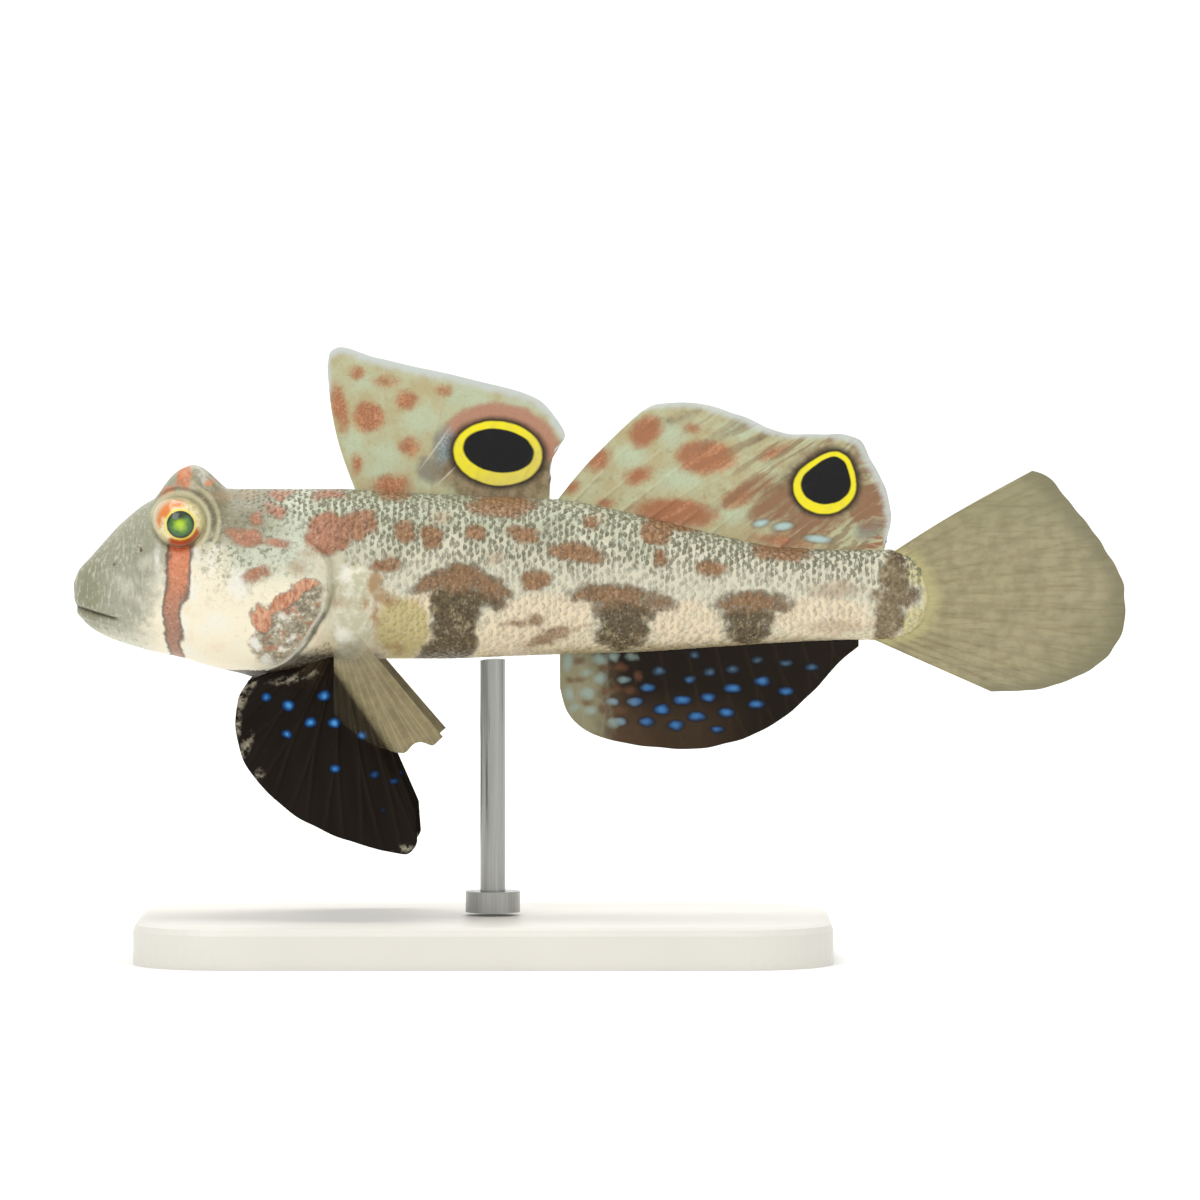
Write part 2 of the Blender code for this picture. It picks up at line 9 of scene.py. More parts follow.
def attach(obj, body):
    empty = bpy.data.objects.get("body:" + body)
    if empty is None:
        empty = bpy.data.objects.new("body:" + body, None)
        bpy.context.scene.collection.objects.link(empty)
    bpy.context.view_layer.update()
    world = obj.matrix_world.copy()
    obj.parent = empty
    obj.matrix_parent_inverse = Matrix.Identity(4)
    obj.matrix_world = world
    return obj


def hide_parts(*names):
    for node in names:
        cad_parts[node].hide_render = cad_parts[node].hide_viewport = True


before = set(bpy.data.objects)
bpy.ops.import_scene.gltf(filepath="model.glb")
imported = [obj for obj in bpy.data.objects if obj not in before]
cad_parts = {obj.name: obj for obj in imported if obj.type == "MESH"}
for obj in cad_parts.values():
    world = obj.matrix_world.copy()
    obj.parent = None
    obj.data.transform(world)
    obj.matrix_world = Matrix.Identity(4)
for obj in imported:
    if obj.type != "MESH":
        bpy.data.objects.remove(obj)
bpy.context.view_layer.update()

print("frame loaded,", len(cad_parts), "nodes")

mm = 0.001
halfLength = 50.0  # the snout is this far ahead of the origin, mm
axisHeight = 34.0  # the fish's axis above the floor, mm
sightSlope = 0.035  # markings are laid as the photo shows them, from a little above


def paint(red, green, blue):
    # screen values 0 to 255 into a colour socket's linear ones
    screen = (red, green, blue)
    linear = [c / 255 / 12.92 if c <= 10 else ((c / 255 + 0.055) / 1.055) ** 2.4 for c in screen]
    return (*linear, 1.0)


# A number socket of a material. Arithmetic on it adds Math nodes.
class Amount:
    def __init__(self, finish, socket):
        self.finish, self.socket = finish, socket

    def reckon(self, operation, *values):
        return self.finish.add("ShaderNodeMath", {"operation": operation}, dict(enumerate(values)))

    def __add__(self, other):
        return self.reckon("ADD", self, other)

    def __sub__(self, other):
        return self.reckon("SUBTRACT", self, other)

    def __rsub__(self, other):
        return self.reckon("SUBTRACT", other, self)

    def __mul__(self, other):
        return self.reckon("MULTIPLY", self, other)

    __radd__, __rmul__ = __add__, __mul__

    def least(self, other):
        return self.reckon("MINIMUM", self, other)

    def fade(self, start, end):
        # 0 at start, 1 at end, smooth between and flat beyond
        return self.finish.add("ShaderNodeMapRange", {"interpolation_type": "SMOOTHSTEP"},
                               {"Value": self, "From Min": start, "From Max": end})

    def line(self, steep):
        # 1 where this amount is 0, falling to 0 on both sides
        return 1 - (self * self * steep).least(1.0)


# A material under construction. Its look names screen colours, and some names stand for two.
class Finish:
    def __init__(self, name, look):
        self.material = bpy.data.materials.new(name)
        self.material.use_nodes = True
        self.tree = self.material.node_tree
        self.shader = self.tree.nodes["Principled BSDF"]
        self.look = look

    def add(self, kind, settings=None, values=None, out=0):
        made = self.tree.nodes.new(kind)
        for key, value in (settings or {}).items():
            setattr(made, key, value)
        for key, value in (values or {}).items():
            self.give(made.inputs[key], value)
        return Amount(self, made.outputs[out])

    def give(self, socket, value):
        if isinstance(value, Amount):
            self.tree.links.new(value.socket, socket)
        else:
            socket.default_value = value

    def set(self, **values):
        for key, value in values.items():
            self.give(self.shader.inputs[key.replace("_", " ")], value)

    def read(self, name):
        # a number stored on the mesh
        return self.add("ShaderNodeAttribute", {"attribute_name": name}, out="Fac")

    def grain(self, size, detail=2.0, roughness=0.5, stretch=(1.0, 1.0, 1.0)):
        # noise whose lumps are about size mm across
        place = self.add("ShaderNodeTexCoord", out="Object")
        spread = self.add("ShaderNodeVectorMath", {"operation": "MULTIPLY"},
                          {0: place, 1: tuple(1.0 / (mm * size * k) for k in stretch)})
        return self.add("ShaderNodeTexNoise", {"noise_dimensions": "3D"},
                        {"Vector": spread, "Scale": 1.0, "Detail": detail, "Roughness": roughness})

    def tint(self, colour, mix=0):
        # a colour of the look. Of two, mix chooses the first or second, or is the amount that blends them
        if not isinstance(colour, str):
            return colour
        found = self.look[colour]
        if not isinstance(found[0], tuple):
            return paint(*found)
        if isinstance(mix, Amount):
            return self.blend(mix, paint(*found[0]), paint(*found[1]))
        return paint(*found[mix])

    def blend(self, share, first, second):
        # a colour between two, by share
        return self.add("ShaderNodeMix", {"data_type": "RGBA"},
                        {0: share, 6: self.tint(first), 7: self.tint(second)}, out=2)

    def lay(self, share, colour, mix=0):
        # lays a colour over those there already, by share
        self.colour = self.blend(share, self.colour, self.tint(colour, mix))

    def inside(self, name, soft, ragged=0.0, size=0.6, grow=0.0):
        # 1 within a stored marking, 0 outside it, with a soft and slightly ragged edge
        edge = self.read(name) - grow
        if ragged:
            edge = edge + (self.grain(size, 3.0, 0.65) - 0.5) * (2 * ragged)
        return 1 - edge.fade(-soft, soft)

    def mark(self, name, soft, ragged, share=1.0, colour=None, mix=0, size=0.6, grow=0.0):
        # lays a colour inside a stored marking
        self.lay(self.inside(name, soft, ragged, size, grow) * share, colour or name, mix)

    def close(self, roughness, height, strength, distance, **more):
        # gives the shader its colour, its roughness and a relief of distance mm
        relief = self.add("ShaderNodeBump", None,
                          {"Height": height, "Strength": strength, "Distance": distance * mm})
        self.set(Base_Color=self.colour, Roughness=roughness, Normal=relief, **more)
        return self

    def wear(self, piece):
        piece.data.materials.clear()
        piece.data.materials.append(self.material)


def smoothThrough(points, at):
    # values of a smooth curve through (x, value, value...) rows, read at the places at
    table = np.array(points, float)
    x, values = table[:, 0], table[:, 1:]
    steps = np.diff(x)[:, None]
    slopes = np.diff(values, axis=0) / steps
    tangents = np.zeros_like(values)
    tangents[0], tangents[-1] = slopes[0], slopes[-1]
    both = slopes[:-1] + slopes[1:]
    sameWay = slopes[:-1] * slopes[1:] > 0
    tangents[1:-1] = np.where(sameWay, 2 * slopes[:-1] * slopes[1:] / np.where(both == 0, 1, both), 0)
    at = np.clip(np.asarray(at, float), x[0], x[-1])
    i = np.minimum(np.searchsorted(x, at, side="right") - 1, len(x) - 2)
    step = steps[i]
    t = ((at - x[i]) / step[..., 0])[..., None]
    return ((2 * t**3 - 3 * t**2 + 1) * values[i] + (t**3 - 2 * t**2 + t) * step * tangents[i]
            + (3 * t**2 - 2 * t**3) * values[i + 1] + (t**3 - t**2) * step * tangents[i + 1])


def along(points, share):
    # the place at this share of the length of a smooth curve
    line = np.array(points, float)
    distance = np.concatenate([[0], np.cumsum(np.linalg.norm(np.diff(line, axis=0), axis=1))])
    return smoothThrough(np.column_stack([distance / distance[-1], line]), share)


def bell(distance, reach):
    # 1 at no distance, falling smoothly to 0 at reach
    return np.maximum(0.0, 1 - (distance / reach) ** 2) ** 2


def ramp(value, start, end):
    t = np.clip((value - start) / (end - start), 0, 1)
    return t * t * (3 - 2 * t)


def inWorld(points):
    # (behind the snout, to the right, above the axis) in mm, to metres in the frame
    return (np.asarray(points) + (-halfLength, 0.0, axisHeight)) * mm


def wander(points, size, seed):
    # a smooth random shift along and up at each point, in shares of 1, with lumps of about size mm
    offset = Vector((seed * 7.3, seed * 3.1, seed * 5.7))
    apart = Vector((31.7, 12.9, 47.3))
    places = [Vector(point) / size + offset for point in points]
    return np.array([(noise.noise(place), noise.noise(place + apart)) for place in places])


def meshPiece(name, points, faces):
    mesh = bpy.data.meshes.new(name)
    mesh.from_pydata(inWorld(points).tolist(), [], faces)
    mesh.validate()
    mesh.polygons.foreach_set("use_smooth", [True] * len(mesh.polygons))
    made = bpy.data.objects.new(name, mesh)
    bpy.context.scene.collection.objects.link(made)
    return made


def store(piece, name, values):
    layer = piece.data.attributes.new(name, "FLOAT", "POINT")
    layer.data.foreach_set("value", np.asarray(values, np.float32).ravel())


def patches(rows, s, z, merge=0.3):
    # distance in mm outside some ellipses that flow into each other.
    # A row is (s, z, half length, half height, turn)
    nearest = np.full(np.shape(s), 50.0)
    for row in rows:
        turn = math.radians(row[4] if len(row) > 4 else 0)
        ds, dz = s - row[0], z - row[1]
        a = ds * math.cos(turn) + dz * math.sin(turn)
        b = dz * math.cos(turn) - ds * math.sin(turn)
        size = np.hypot(a / row[2], b / row[3])
        away = (size - 1) * min(row[2], row[3]) * (1 + 0.35 * (size > 1))
        share = np.clip(0.5 + 0.5 * (away - nearest) / merge, 0, 1)
        nearest = away * (1 - share) + nearest * share - merge * share * (1 - share)
    return nearest


# The body: stations are (behind the snout, back, belly, half width) in mm
body = {
    "stations": ((0, 1.7, 0.9, 0.5), (0.5, 2.9, -1.3, 2.1), (1.5, 4, -2.5, 3.2), (3, 5.7, -3.4, 4.1),
        (4.5, 7.3, -4, 4.7), (7.2, 9.4, -4.8, 5.5), (10, 10.5, -5.4, 6.1), (13, 10.6, -6.3, 6.6),
        (15.6, 10.6, -6.9, 6.9), (18.2, 10.6, -7.5, 6.9), (21.5, 10.6, -6.9, 6.8), (25, 10.6, -6, 6.5),
        (29, 10.4, -5.6, 6.2), (35, 10.1, -5.6, 5.8), (40.5, 9.9, -5.4, 5.4), (46, 9.6, -5.2, 4.9),
        (53, 8.3, -5, 4.2), (61, 6.3, -4.5, 3.4), (67, 5.1, -4.1, 2.8), (74.5, 4.8, -3.8, 2.1),
        (77.2, 4.8, -3.8, 1.8), (79, 4.3, -3.4, 1.4), (80.4, 3.1, -2.4, 1), (81.2, 0.6, 0, 0.4)),
    "waist": 0.46,  # where the body is widest, as a share of its depth up from the belly
    "power": 2.2,  # 2 gives an oval section, more a squarer one
    "pointsRound": 256,
    "ringGap": 0.29,
    # rows of the two edges are (z, s)
    "gillEdge": ((-6.6, 18.4), (-5.7, 20.2), (-4, 21.9), (-2.3, 22.9), (-0.5, 24), (1.5, 24.4), (3.8, 24.2),
        (6.3, 21.6)),
    "napeEdge": ((5, 25.2), (6.4, 21.5), (7.6, 18), (9.6, 15)),  # scales start behind it
    "gillRise": 0.55,
    "gillLength": 5.5,
    "gillGroove": 0.4,
    "domeCentre": (11.1, 3, 9.6),
    "domeReach": 4.3,
    "domeHeight": 3.15,
    "lobeCentre": (26.7, -1.2),
    "lobeSize": (2.3, 4.8, -8),
    "lobeRise": 1.15,
    "scaleDepth": 0.04,
}
eye = {
    "centre": (10.25, 3.45, 7.5),
    "radius": 2.7,
    "orbit": 2.34,
    "rim": 0.09,
    "pupil": (10.38, 7.34),  # behind the snout, above the axis
    "lid": 0.06,
    "bulge": ((-0.07, -0.05), 0.72, 0.22),  # its middle and reach, in shares of the radius, and its height, mm
    "patches": {
        "eyeOrange": ((8.7, 8.6, 0.75, 0.95, 40), (9.7, 9.2, 1.1, 0.42, -8), (8.3, 7.6, 0.35, 0.8)),
        "eyeRed": ((10.5, 5.4, 1.4, 0.85, 6), (11.65, 6.1, 0.5, 0.75, -30)),
        "eyeShade": ((10, 10.2, 1.7, 0.5),),
    },
}
mouth = {
    "front": (-0.4, -0.35),
    "corner": (4.6, -1.75),
    # the upper lip, the lower lip and the line between them: (height, how far above the line, reach)
    "lips": ((0.5, 0.62, 0.75), (0.42, -0.5, 0.6), (-0.5, 0.0, 0.26)),
    "nostrils": ((4.2, 3.6), (6.3, 5)),
    "nostrilReach": 0.3,
    "nostrilRim": 0.13,
}


def gillLine(z):
    # how far behind the snout the gill cover's rear edge is
    return smoothThrough(body["gillEdge"], z)[..., 0]


def sections(s):
    top, bottom, half = np.moveaxis(smoothThrough(body["stations"], s), -1, 0)
    return top, bottom, half, bottom + body["waist"] * (top - bottom)


def barePoint(s, angle):
    # the body's surface before its relief. angle runs from the right side up over the back
    top, bottom, half, middle = sections(s)
    across, up = np.cos(angle), np.sin(angle)
    shapeY = np.sign(across) * np.abs(across) ** (2 / body["power"])
    shapeZ = np.sign(up) * np.abs(up) ** (2 / body["power"])
    y = half * shapeY
    z = middle + np.where(up > 0, top - middle, middle - bottom) * shapeZ
    side = np.where(y >= 0, 1.0, -1.0)
    domeS, domeY, domeZ = body["domeCentre"]
    away = np.sqrt((s - domeS) ** 2 + (y - side * domeY) ** 2 + (z - domeZ) ** 2)
    dome = body["domeHeight"] * bell(away, body["domeReach"])
    low, high = body["gillEdge"][0][0], body["gillEdge"][-1][0]
    ahead = gillLine(z) - s
    ends = np.clip(np.minimum((z - low) / 1.5, (high - z) / 2.5), 0, 1)
    cover = body["gillRise"] * ends * np.clip(1 - ahead / body["gillLength"], 0, 1) * (ahead > 0)
    y = y + side * (0.42 * dome * np.minimum(1, np.abs(y)) + cover)
    return np.stack([s, y, z + 0.91 * dome], -1)


def outward(place, s, angle):
    # unit normals of a surface given as place(s, angle)
    d = 0.02
    alongBody = place(s + d, angle) - place(s - d, angle)
    around = place(s, angle + d / 4) - place(s, angle - d / 4)
    normal = np.cross(around, alongBody)
    return normal / np.maximum(np.linalg.norm(normal, axis=-1, keepdims=True), 1e-9)


def lobeCover(s, z):
    # 1 in the middle of the fleshy base of the pectoral fin, 0 outside it
    centreS, centreZ = body["lobeCentre"]
    halfS, halfZ, turn = body["lobeSize"]
    lean = math.radians(turn)
    a = (s - centreS) * math.cos(lean) + (z - centreZ) * math.sin(lean)
    b = (z - centreZ) * math.cos(lean) - (s - centreS) * math.sin(lean)
    return np.clip(1 - (a / halfS) ** 2 - (b / halfZ) ** 2, 0, 1)


def scaleEdge(s, z, y):
    # how far this place is behind the front edge of the scaled skin, which runs forward over the nape
    nape = np.interp(z, *zip(*body["napeEdge"])) + 0.25 * np.abs(y)
    return s - np.where(z > 5.2, nape, gillLine(z) + 1.2)


def scaleCover(s, z, y):
    # where scales grow: not on the head's sides, nor on the pectoral base
    return (scaleEdge(s, z, y) > 0) * (lobeCover(s, z) < 0.02) * (s < 80.6)


def skinPoint(s, angle):
    points = barePoint(s, angle)
    normals = outward(barePoint, s, angle)
    px, y, z = points[..., 0], points[..., 1], points[..., 2]
    side = np.where(y >= 0, 1.0, -1.0)
    # lips, with the mouth's line between them
    (frontS, frontZ), (cornerS, cornerZ) = mouth["front"], mouth["corner"]
    above = z - (frontZ + (cornerZ - frontZ) * (px - frontS) / (cornerS - frontS))
    fadeOut = 1 - ramp(px, cornerS - 0.9, cornerS + 0.3)
    lips = sum(height * bell(above - place, reach) for height, place, reach in mouth["lips"])
    lips = lips * fadeOut * (1 - 0.8 * normals[..., 0] ** 2)
    # the groove behind the gill cover, and the fleshy base of the pectoral fin
    behind = px - gillLine(z)
    low, high = body["gillEdge"][0][0], body["gillEdge"][-1][0]
    onEdge = ramp(z, low, low + 1.2) * (1 - ramp(z, high - 2.5, high))
    groove = -body["gillGroove"] * bell(behind - 0.35, 0.55) * onEdge
    lobe = body["lobeRise"] * np.sqrt(lobeCover(px, z)) * ramp(lobeCover(px, z), 0, 0.3)
    lift = lips + groove + lobe - body["scaleDepth"] * scaleCover(px, z, y)
    points = points + normals * lift[..., None]
    # the orbit: skin dips under the eyeball inside it and stands up as a rim round it
    eyeS, eyeY, eyeZ = eye["centre"]
    away = np.hypot(px - eyeS, z - eyeZ)
    ball = eyeY + np.sqrt(np.maximum(eye["radius"] ** 2 - away**2, 0)) - 0.3
    dip = 1 - ramp(away, eye["orbit"] - 0.1, eye["orbit"] + 0.42)
    outY = np.abs(points[..., 1]) + eye["rim"] * bell(away - eye["orbit"] - 0.75, 0.6)
    points[..., 1] = side * (outY * (1 - dip) + np.minimum(ball, outY) * dip)
    return points


# Markings of the flank. Rows are (s, z, half length, half height, turn), in mm and degrees
saddleCaps = ((34.2, 1.7, 2.2, 0.95, 22), (36.6, 2.2, 2.3, 1.35), (39.2, 1.5, 2.2, 1, -20),
    (41, 0.7, 0.9, 0.55, -30), (51.6, 0.6, 3.5, 1.1, -2), (48.6, 0.5, 1.5, 0.6),
    (55.6, -0.2, 1.7, 0.55, -8), (64.5, 0, 2.9, 0.95), (62, -0.5, 1.5, 0.5), (67.2, -0.5, 1.3, 0.42, -4))
saddleStems = ((36.4, -0.4, 2.5, 2.4), (36.2, -3.4, 2.15, 2.8), (34.7, -5.4, 2.2, 1.6, 20),
    (39.4, 0.3, 1.9, 0.8, -15), (52.3, -1, 3, 1.3), (52.1, -3, 2.5, 1.7), (64.1, -1.5, 2.6, 1.1),
    (64, -3, 2.2, 1.2))
markings = {
    "rust": ((19.9, 10, 1.28, 0.5), (24.4, 10, 1.66, 0.6), (19.3, 8.5, 1.15, 0.55, -22),
        (17.6, 7.7, 0.65, 0.85, 10), (15.6, 6.1, 1, 0.5, -20), (16.8, 5.8, 1.4, 0.85),
        (19.6, 5.4, 1.15, 0.5, -4), (17.7, 2.4, 1.5, 0.65, 18), (24.3, 6.3, 2.1, 2.05),
        (27.3, 7.2, 1.9, 1.4), (30.4, 10.4, 1.66, 1), (40.8, 9, 3.2, 1.15), (31.5, 6.5, 1.1, 1, 20),
        (34.1, 6.1, 1, 1.28), (38.2, 6.3, 1.05, 0.9), (42.7, 6.2, 1.6, 0.9, -12),
        (47.6, 4.5, 2.66, 0.95, -8), (49.1, 7.2, 0.6, 0.6), (29.7, 3.3, 1.5, 0.72), (43.9, 1.8, 1.4, 1),
        (56.7, 8.2, 3.8, 1.5, -14), (55.5, 6.6, 1.5, 1.3), (55.8, 3.9, 0.8, 0.85), (60.4, 3, 1.55, 0.85),
        (67.3, 4.8, 2.76, 1.15, -4)),
    "faint": ((17, 10.1, 0.8, 0.33), (21.4, 3.1, 0.75, 0.6, 30), (72.2, 1, 2.38, 0.8),
        (72.6, -2.6, 2.4, 0.6), (49.8, 7.6, 0.7, 0.5), (14.2, 9.8, 1.2, 0.5, 8), (25.4, -0.1, 1, 0.5),
        (35, 8, 0.9, 0.6), (40.2, 4, 0.6, 0.6), (22.6, 4.3, 0.8, 0.5), (17.5, 6.9, 0.4, 0.4)),
    "caps": saddleCaps,
    "saddles": saddleCaps + saddleStems,
    "tan": ((31.3, -2.6, 2.7, 3),),
    "tanBrown": ((29.7, 0.3, 1.3, 0.6, -12), (28.8, 1.6, 0.7, 1), (27.6, -0.4, 0.4, 0.75, -10),
        (28.7, -1.4, 0.3, 1.2), (30.6, -4.6, 0.7, 0.3)),
    "cream": ((44, -1.9, 5, 2.5), (41, -3.6, 3, 1.8), (58.2, -2.3, 3.3, 2.2), (71, -1.6, 5, 1.9),
        (33.6, -0.2, 1.6, 1.1), (47.6, -0.9, 2, 1.5)),
    "tailCream": ((80.4, 2.9, 1.3, 1.6), (79.9, -2.3, 1.3, 1.5), (81.4, 0.3, 0.8, 2.2)),
    "gill": ((20.6, -2.3, 3.8, 2.3, 44), (21.9, 0, 2.2, 1.3, 30), (18.9, -4.3, 2, 1.7)),
    "gillRust": ((20.2, -0.2, 2.5, 0.7, 36), (18, -1.8, 1, 1.3, 20), (22.1, 1.4, 1.2, 0.6, 5)),
    # rows of the stripe under the eye are (z, s, half width)
    "stripe": ((-6.9, 9.95, 0.66), (-4.4, 9.7, 0.66), (-3.05, 9.66, 0.68), (-1.06, 9.58, 0.9),
        (0.93, 9.82, 1.04), (2.93, 10.26, 1.06), (4.5, 10.42, 1.05), (5.6, 10.5, 1.1)),
    "white": ((20.2, -1.7, 0.5, 0.42), (17.6, -4.1, 0.62, 0.62), (18.5, -5.6, 0.55, 0.5),
        (19.7, -2.7, 0.3, 0.3), (21, -3.6, 0.3, 0.25), (19.9, -4.6, 0.3, 0.3)),
    "pale": ((11.9, 4.3, 0.4, 0.8), (11.3, 1.4, 0.35, 1.2), (10.8, -2.4, 0.35, 1.2),
        (11.1, -4.8, 0.35, 0.5), (8.3, 3.6, 0.3, 1.4), (16, 1.6, 0.9, 1.4), (26, 2.4, 0.6, 0.8),
        (25.7, -3.4, 0.6, 0.8)),
    "bar": ((78.1, 4, 0.9, 1.2), (77.9, 2.2, 1.5, 1.6), (78.2, 0.3, 2.3, 1.2), (77.4, -1.8, 1.5, 1.6),
        (77, -3.4, 1, 1)),
    # painted shade in the nostrils' bores
    "dark": ((4.2, 3.45, 0.2, 0.2), (6.3, 4.8, 0.2, 0.2)),
    "streaks": ((43.9, -1.95, 0.8, 0.55, 8), (42.4, -2.2, 1.3, 0.3, 6), (44.9, -3.65, 2.4, 0.66, 17)),
    "lines": ((41.5, -2.3, 1.1, 0.2, 5), (47.9, -2.6, 1.7, 0.22, 12)),
    "lobe": ((26.3, 1, 1.9, 3), (26.6, -3, 1.9, 2.6)),
    "orange": ((10.7, 11.6, 0.6, 1.15, 4), (12.9, 11.2, 0.42, 0.36), (9.2, 10.3, 0.9, 0.35, 38)),
    "snoutPatch": ((7.2, 3.6, 0.8, 0.75), (8, 1.6, 1, 0.5), (5.4, 1, 0.5, 1.6, 40)),
}


def markFlank(piece, points):
    # stores on each vertex how far it is outside each kind of marking
    points = points.reshape(-1, 3)
    ragged = wander(points, 1.7, 1) * 0.42 + wander(points, 0.7, 2) * 0.2
    s = points[:, 0] + ragged[:, 0]
    z = points[:, 2] - sightSlope * np.abs(points[:, 1]) + ragged[:, 1]
    for name, rows in markings.items():
        if name == "stripe":
            line = smoothThrough(rows, z)
            store(piece, name, np.abs(s - line[:, 0]) - line[:, 1] + 3 * (z > 5.7))
        else:
            store(piece, name, patches(rows, s, z))
    store(piece, "behindSnout", points[:, 0])
    store(piece, "aboveAxis", points[:, 2])
    store(piece, "fromEye", np.hypot(points[:, 0] - eye["centre"][0], points[:, 2] - eye["centre"][2])
          + 3 * np.maximum(0, 3.2 - np.abs(points[:, 1])))
    onCover = (points[:, 2] > body["gillEdge"][0][0]) & (points[:, 2] < body["gillEdge"][-1][0])
    store(piece, "behindGill", np.where(onCover, points[:, 0] - gillLine(points[:, 2]), 50.0))


def tubeFaces(rows, count, closed=False):
    # faces between rows of count points each, every row running round to its own start
    faces = []
    for i in range(rows if closed else rows - 1):
        here, ahead = i * count, (i + 1) % rows * count
        for k in range(count):
            after = (k + 1) % count
            faces.append((here + k, ahead + k, ahead + after, here + after))
    return faces


def raisedRing(grid, centre, side, reach, size):
    # a soft ring on the skin: its middle line lies on the nearest skin, reach from centre in side view
    count, sides = 72, 12
    turns, about = (2 * np.pi * np.arange(n) / n for n in (count, sides))
    flat = np.stack([centre[0] + reach * np.cos(turns), centre[1] + reach * np.sin(turns)], -1)
    away = np.hypot(grid[:, 0] - centre[0], grid[:, 2] - centre[1])
    near = grid[(grid[:, 1] * side > 0) & (away > reach - 0.05)]
    apart = np.hypot(flat[:, None, 0] - near[None, :, 0], flat[:, None, 1] - near[None, :, 2])
    weight = np.exp(-((apart / 0.16) ** 2)) * np.exp(np.abs(near[None, :, 1]) * 0.8)
    y = (weight * np.abs(near[None, :, 1])).sum(axis=1) / weight.sum(axis=1)
    centres = np.stack([flat[:, 0], side * (y - 0.35 * size), flat[:, 1]], -1)
    outs = np.stack([np.cos(turns), np.zeros(count), np.sin(turns)], -1)
    ups = np.tile((0.0, float(side), 0.0), (count, 1))
    points = (centres[:, None] + outs[:, None] * (np.cos(about)[None, :, None] * size)
              + ups[:, None] * (np.sin(about)[None, :, None] * size))
    return points.reshape(-1, 3), tubeFaces(count, sides, closed=True)


def makeSkin():
    # rings lie closest round the eye and at the snout
    snout = 1.2 * (np.arange(16) / 16) ** 1.5
    parts = ((1.2, 7.0, 0.2), (7.0, 14.0, 0.1), (14.0, 26.0, 0.2), (26.0, 80.2, body["ringGap"]))
    rings = np.concatenate([snout, *(np.arange(*part) for part in parts), [80.4, 80.6, 80.8, 81.0, 81.15]])
    rows, count = len(rings), body["pointsRound"]
    s, angle = np.meshgrid(rings, 2 * np.pi * np.arange(count) / count, indexing="ij")
    points = skinPoint(s, angle).reshape(-1, 3)
    faces = tubeFaces(rows, count)
    # a cap at each end
    points = np.vstack([points, points[:count].mean(axis=0), points[-count:].mean(axis=0)])
    last = (rows - 1) * count
    for k in range(count):
        after = (k + 1) % count
        faces.append((k, after, rows * count))
        faces.append((last + after, last + k, rows * count + 1))
    # the lids' ring and the nostrils' rims
    head = points[(points[:, 0] > 2) & (points[:, 0] < 15)]
    raised = [((eye["centre"][0], eye["centre"][2]), eye["orbit"] + 0.06, eye["lid"])]
    raised += [(spot, mouth["nostrilReach"], mouth["nostrilRim"]) for spot in mouth["nostrils"]]
    for centre, reach, size in raised:
        for side in (-1, 1):
            more, moreFaces = raisedRing(head, centre, side, reach, size)
            faces += [tuple(k + len(points) for k in face) for face in moreFaces]
            points = np.vstack([points, more])
    skin = meshPiece("skin", points, faces)
    markFlank(skin, points)
    for name, value in (("edge", 0.0), ("tone", 0.5), ("scaled", 0.0)):
        store(skin, name, np.full(len(points), value))
    return skin


scaleLook = {
    "firstRow": 15.0,
    "rowGap": 0.56,
    "columnGap": 0.68,
    "length": 1.0,
    "width": 0.82,
    "lift": 0.016,
    "thickness": 0.016,
    "jitter": 0.105,
    "seed": 4,
    # one scale's outline: (along, across, how free of the skin), and how near its rim each point is
    "outline": ((0.0, -0.22, 0), (0.3, -0.47, 0.2), (0.66, -0.47, 0.7), (0.9, -0.28, 1), (1.0, 0.0, 1),
                (0.9, 0.28, 1), (0.66, 0.47, 0.7), (0.3, 0.47, 0.2), (0.0, 0.22, 0)),
    "middle": (0.55, 0.0, 0.75),
    "rim": (0.7, 0.95, 1, 1, 1, 1, 1, 0.95, 0.7, 0),
}


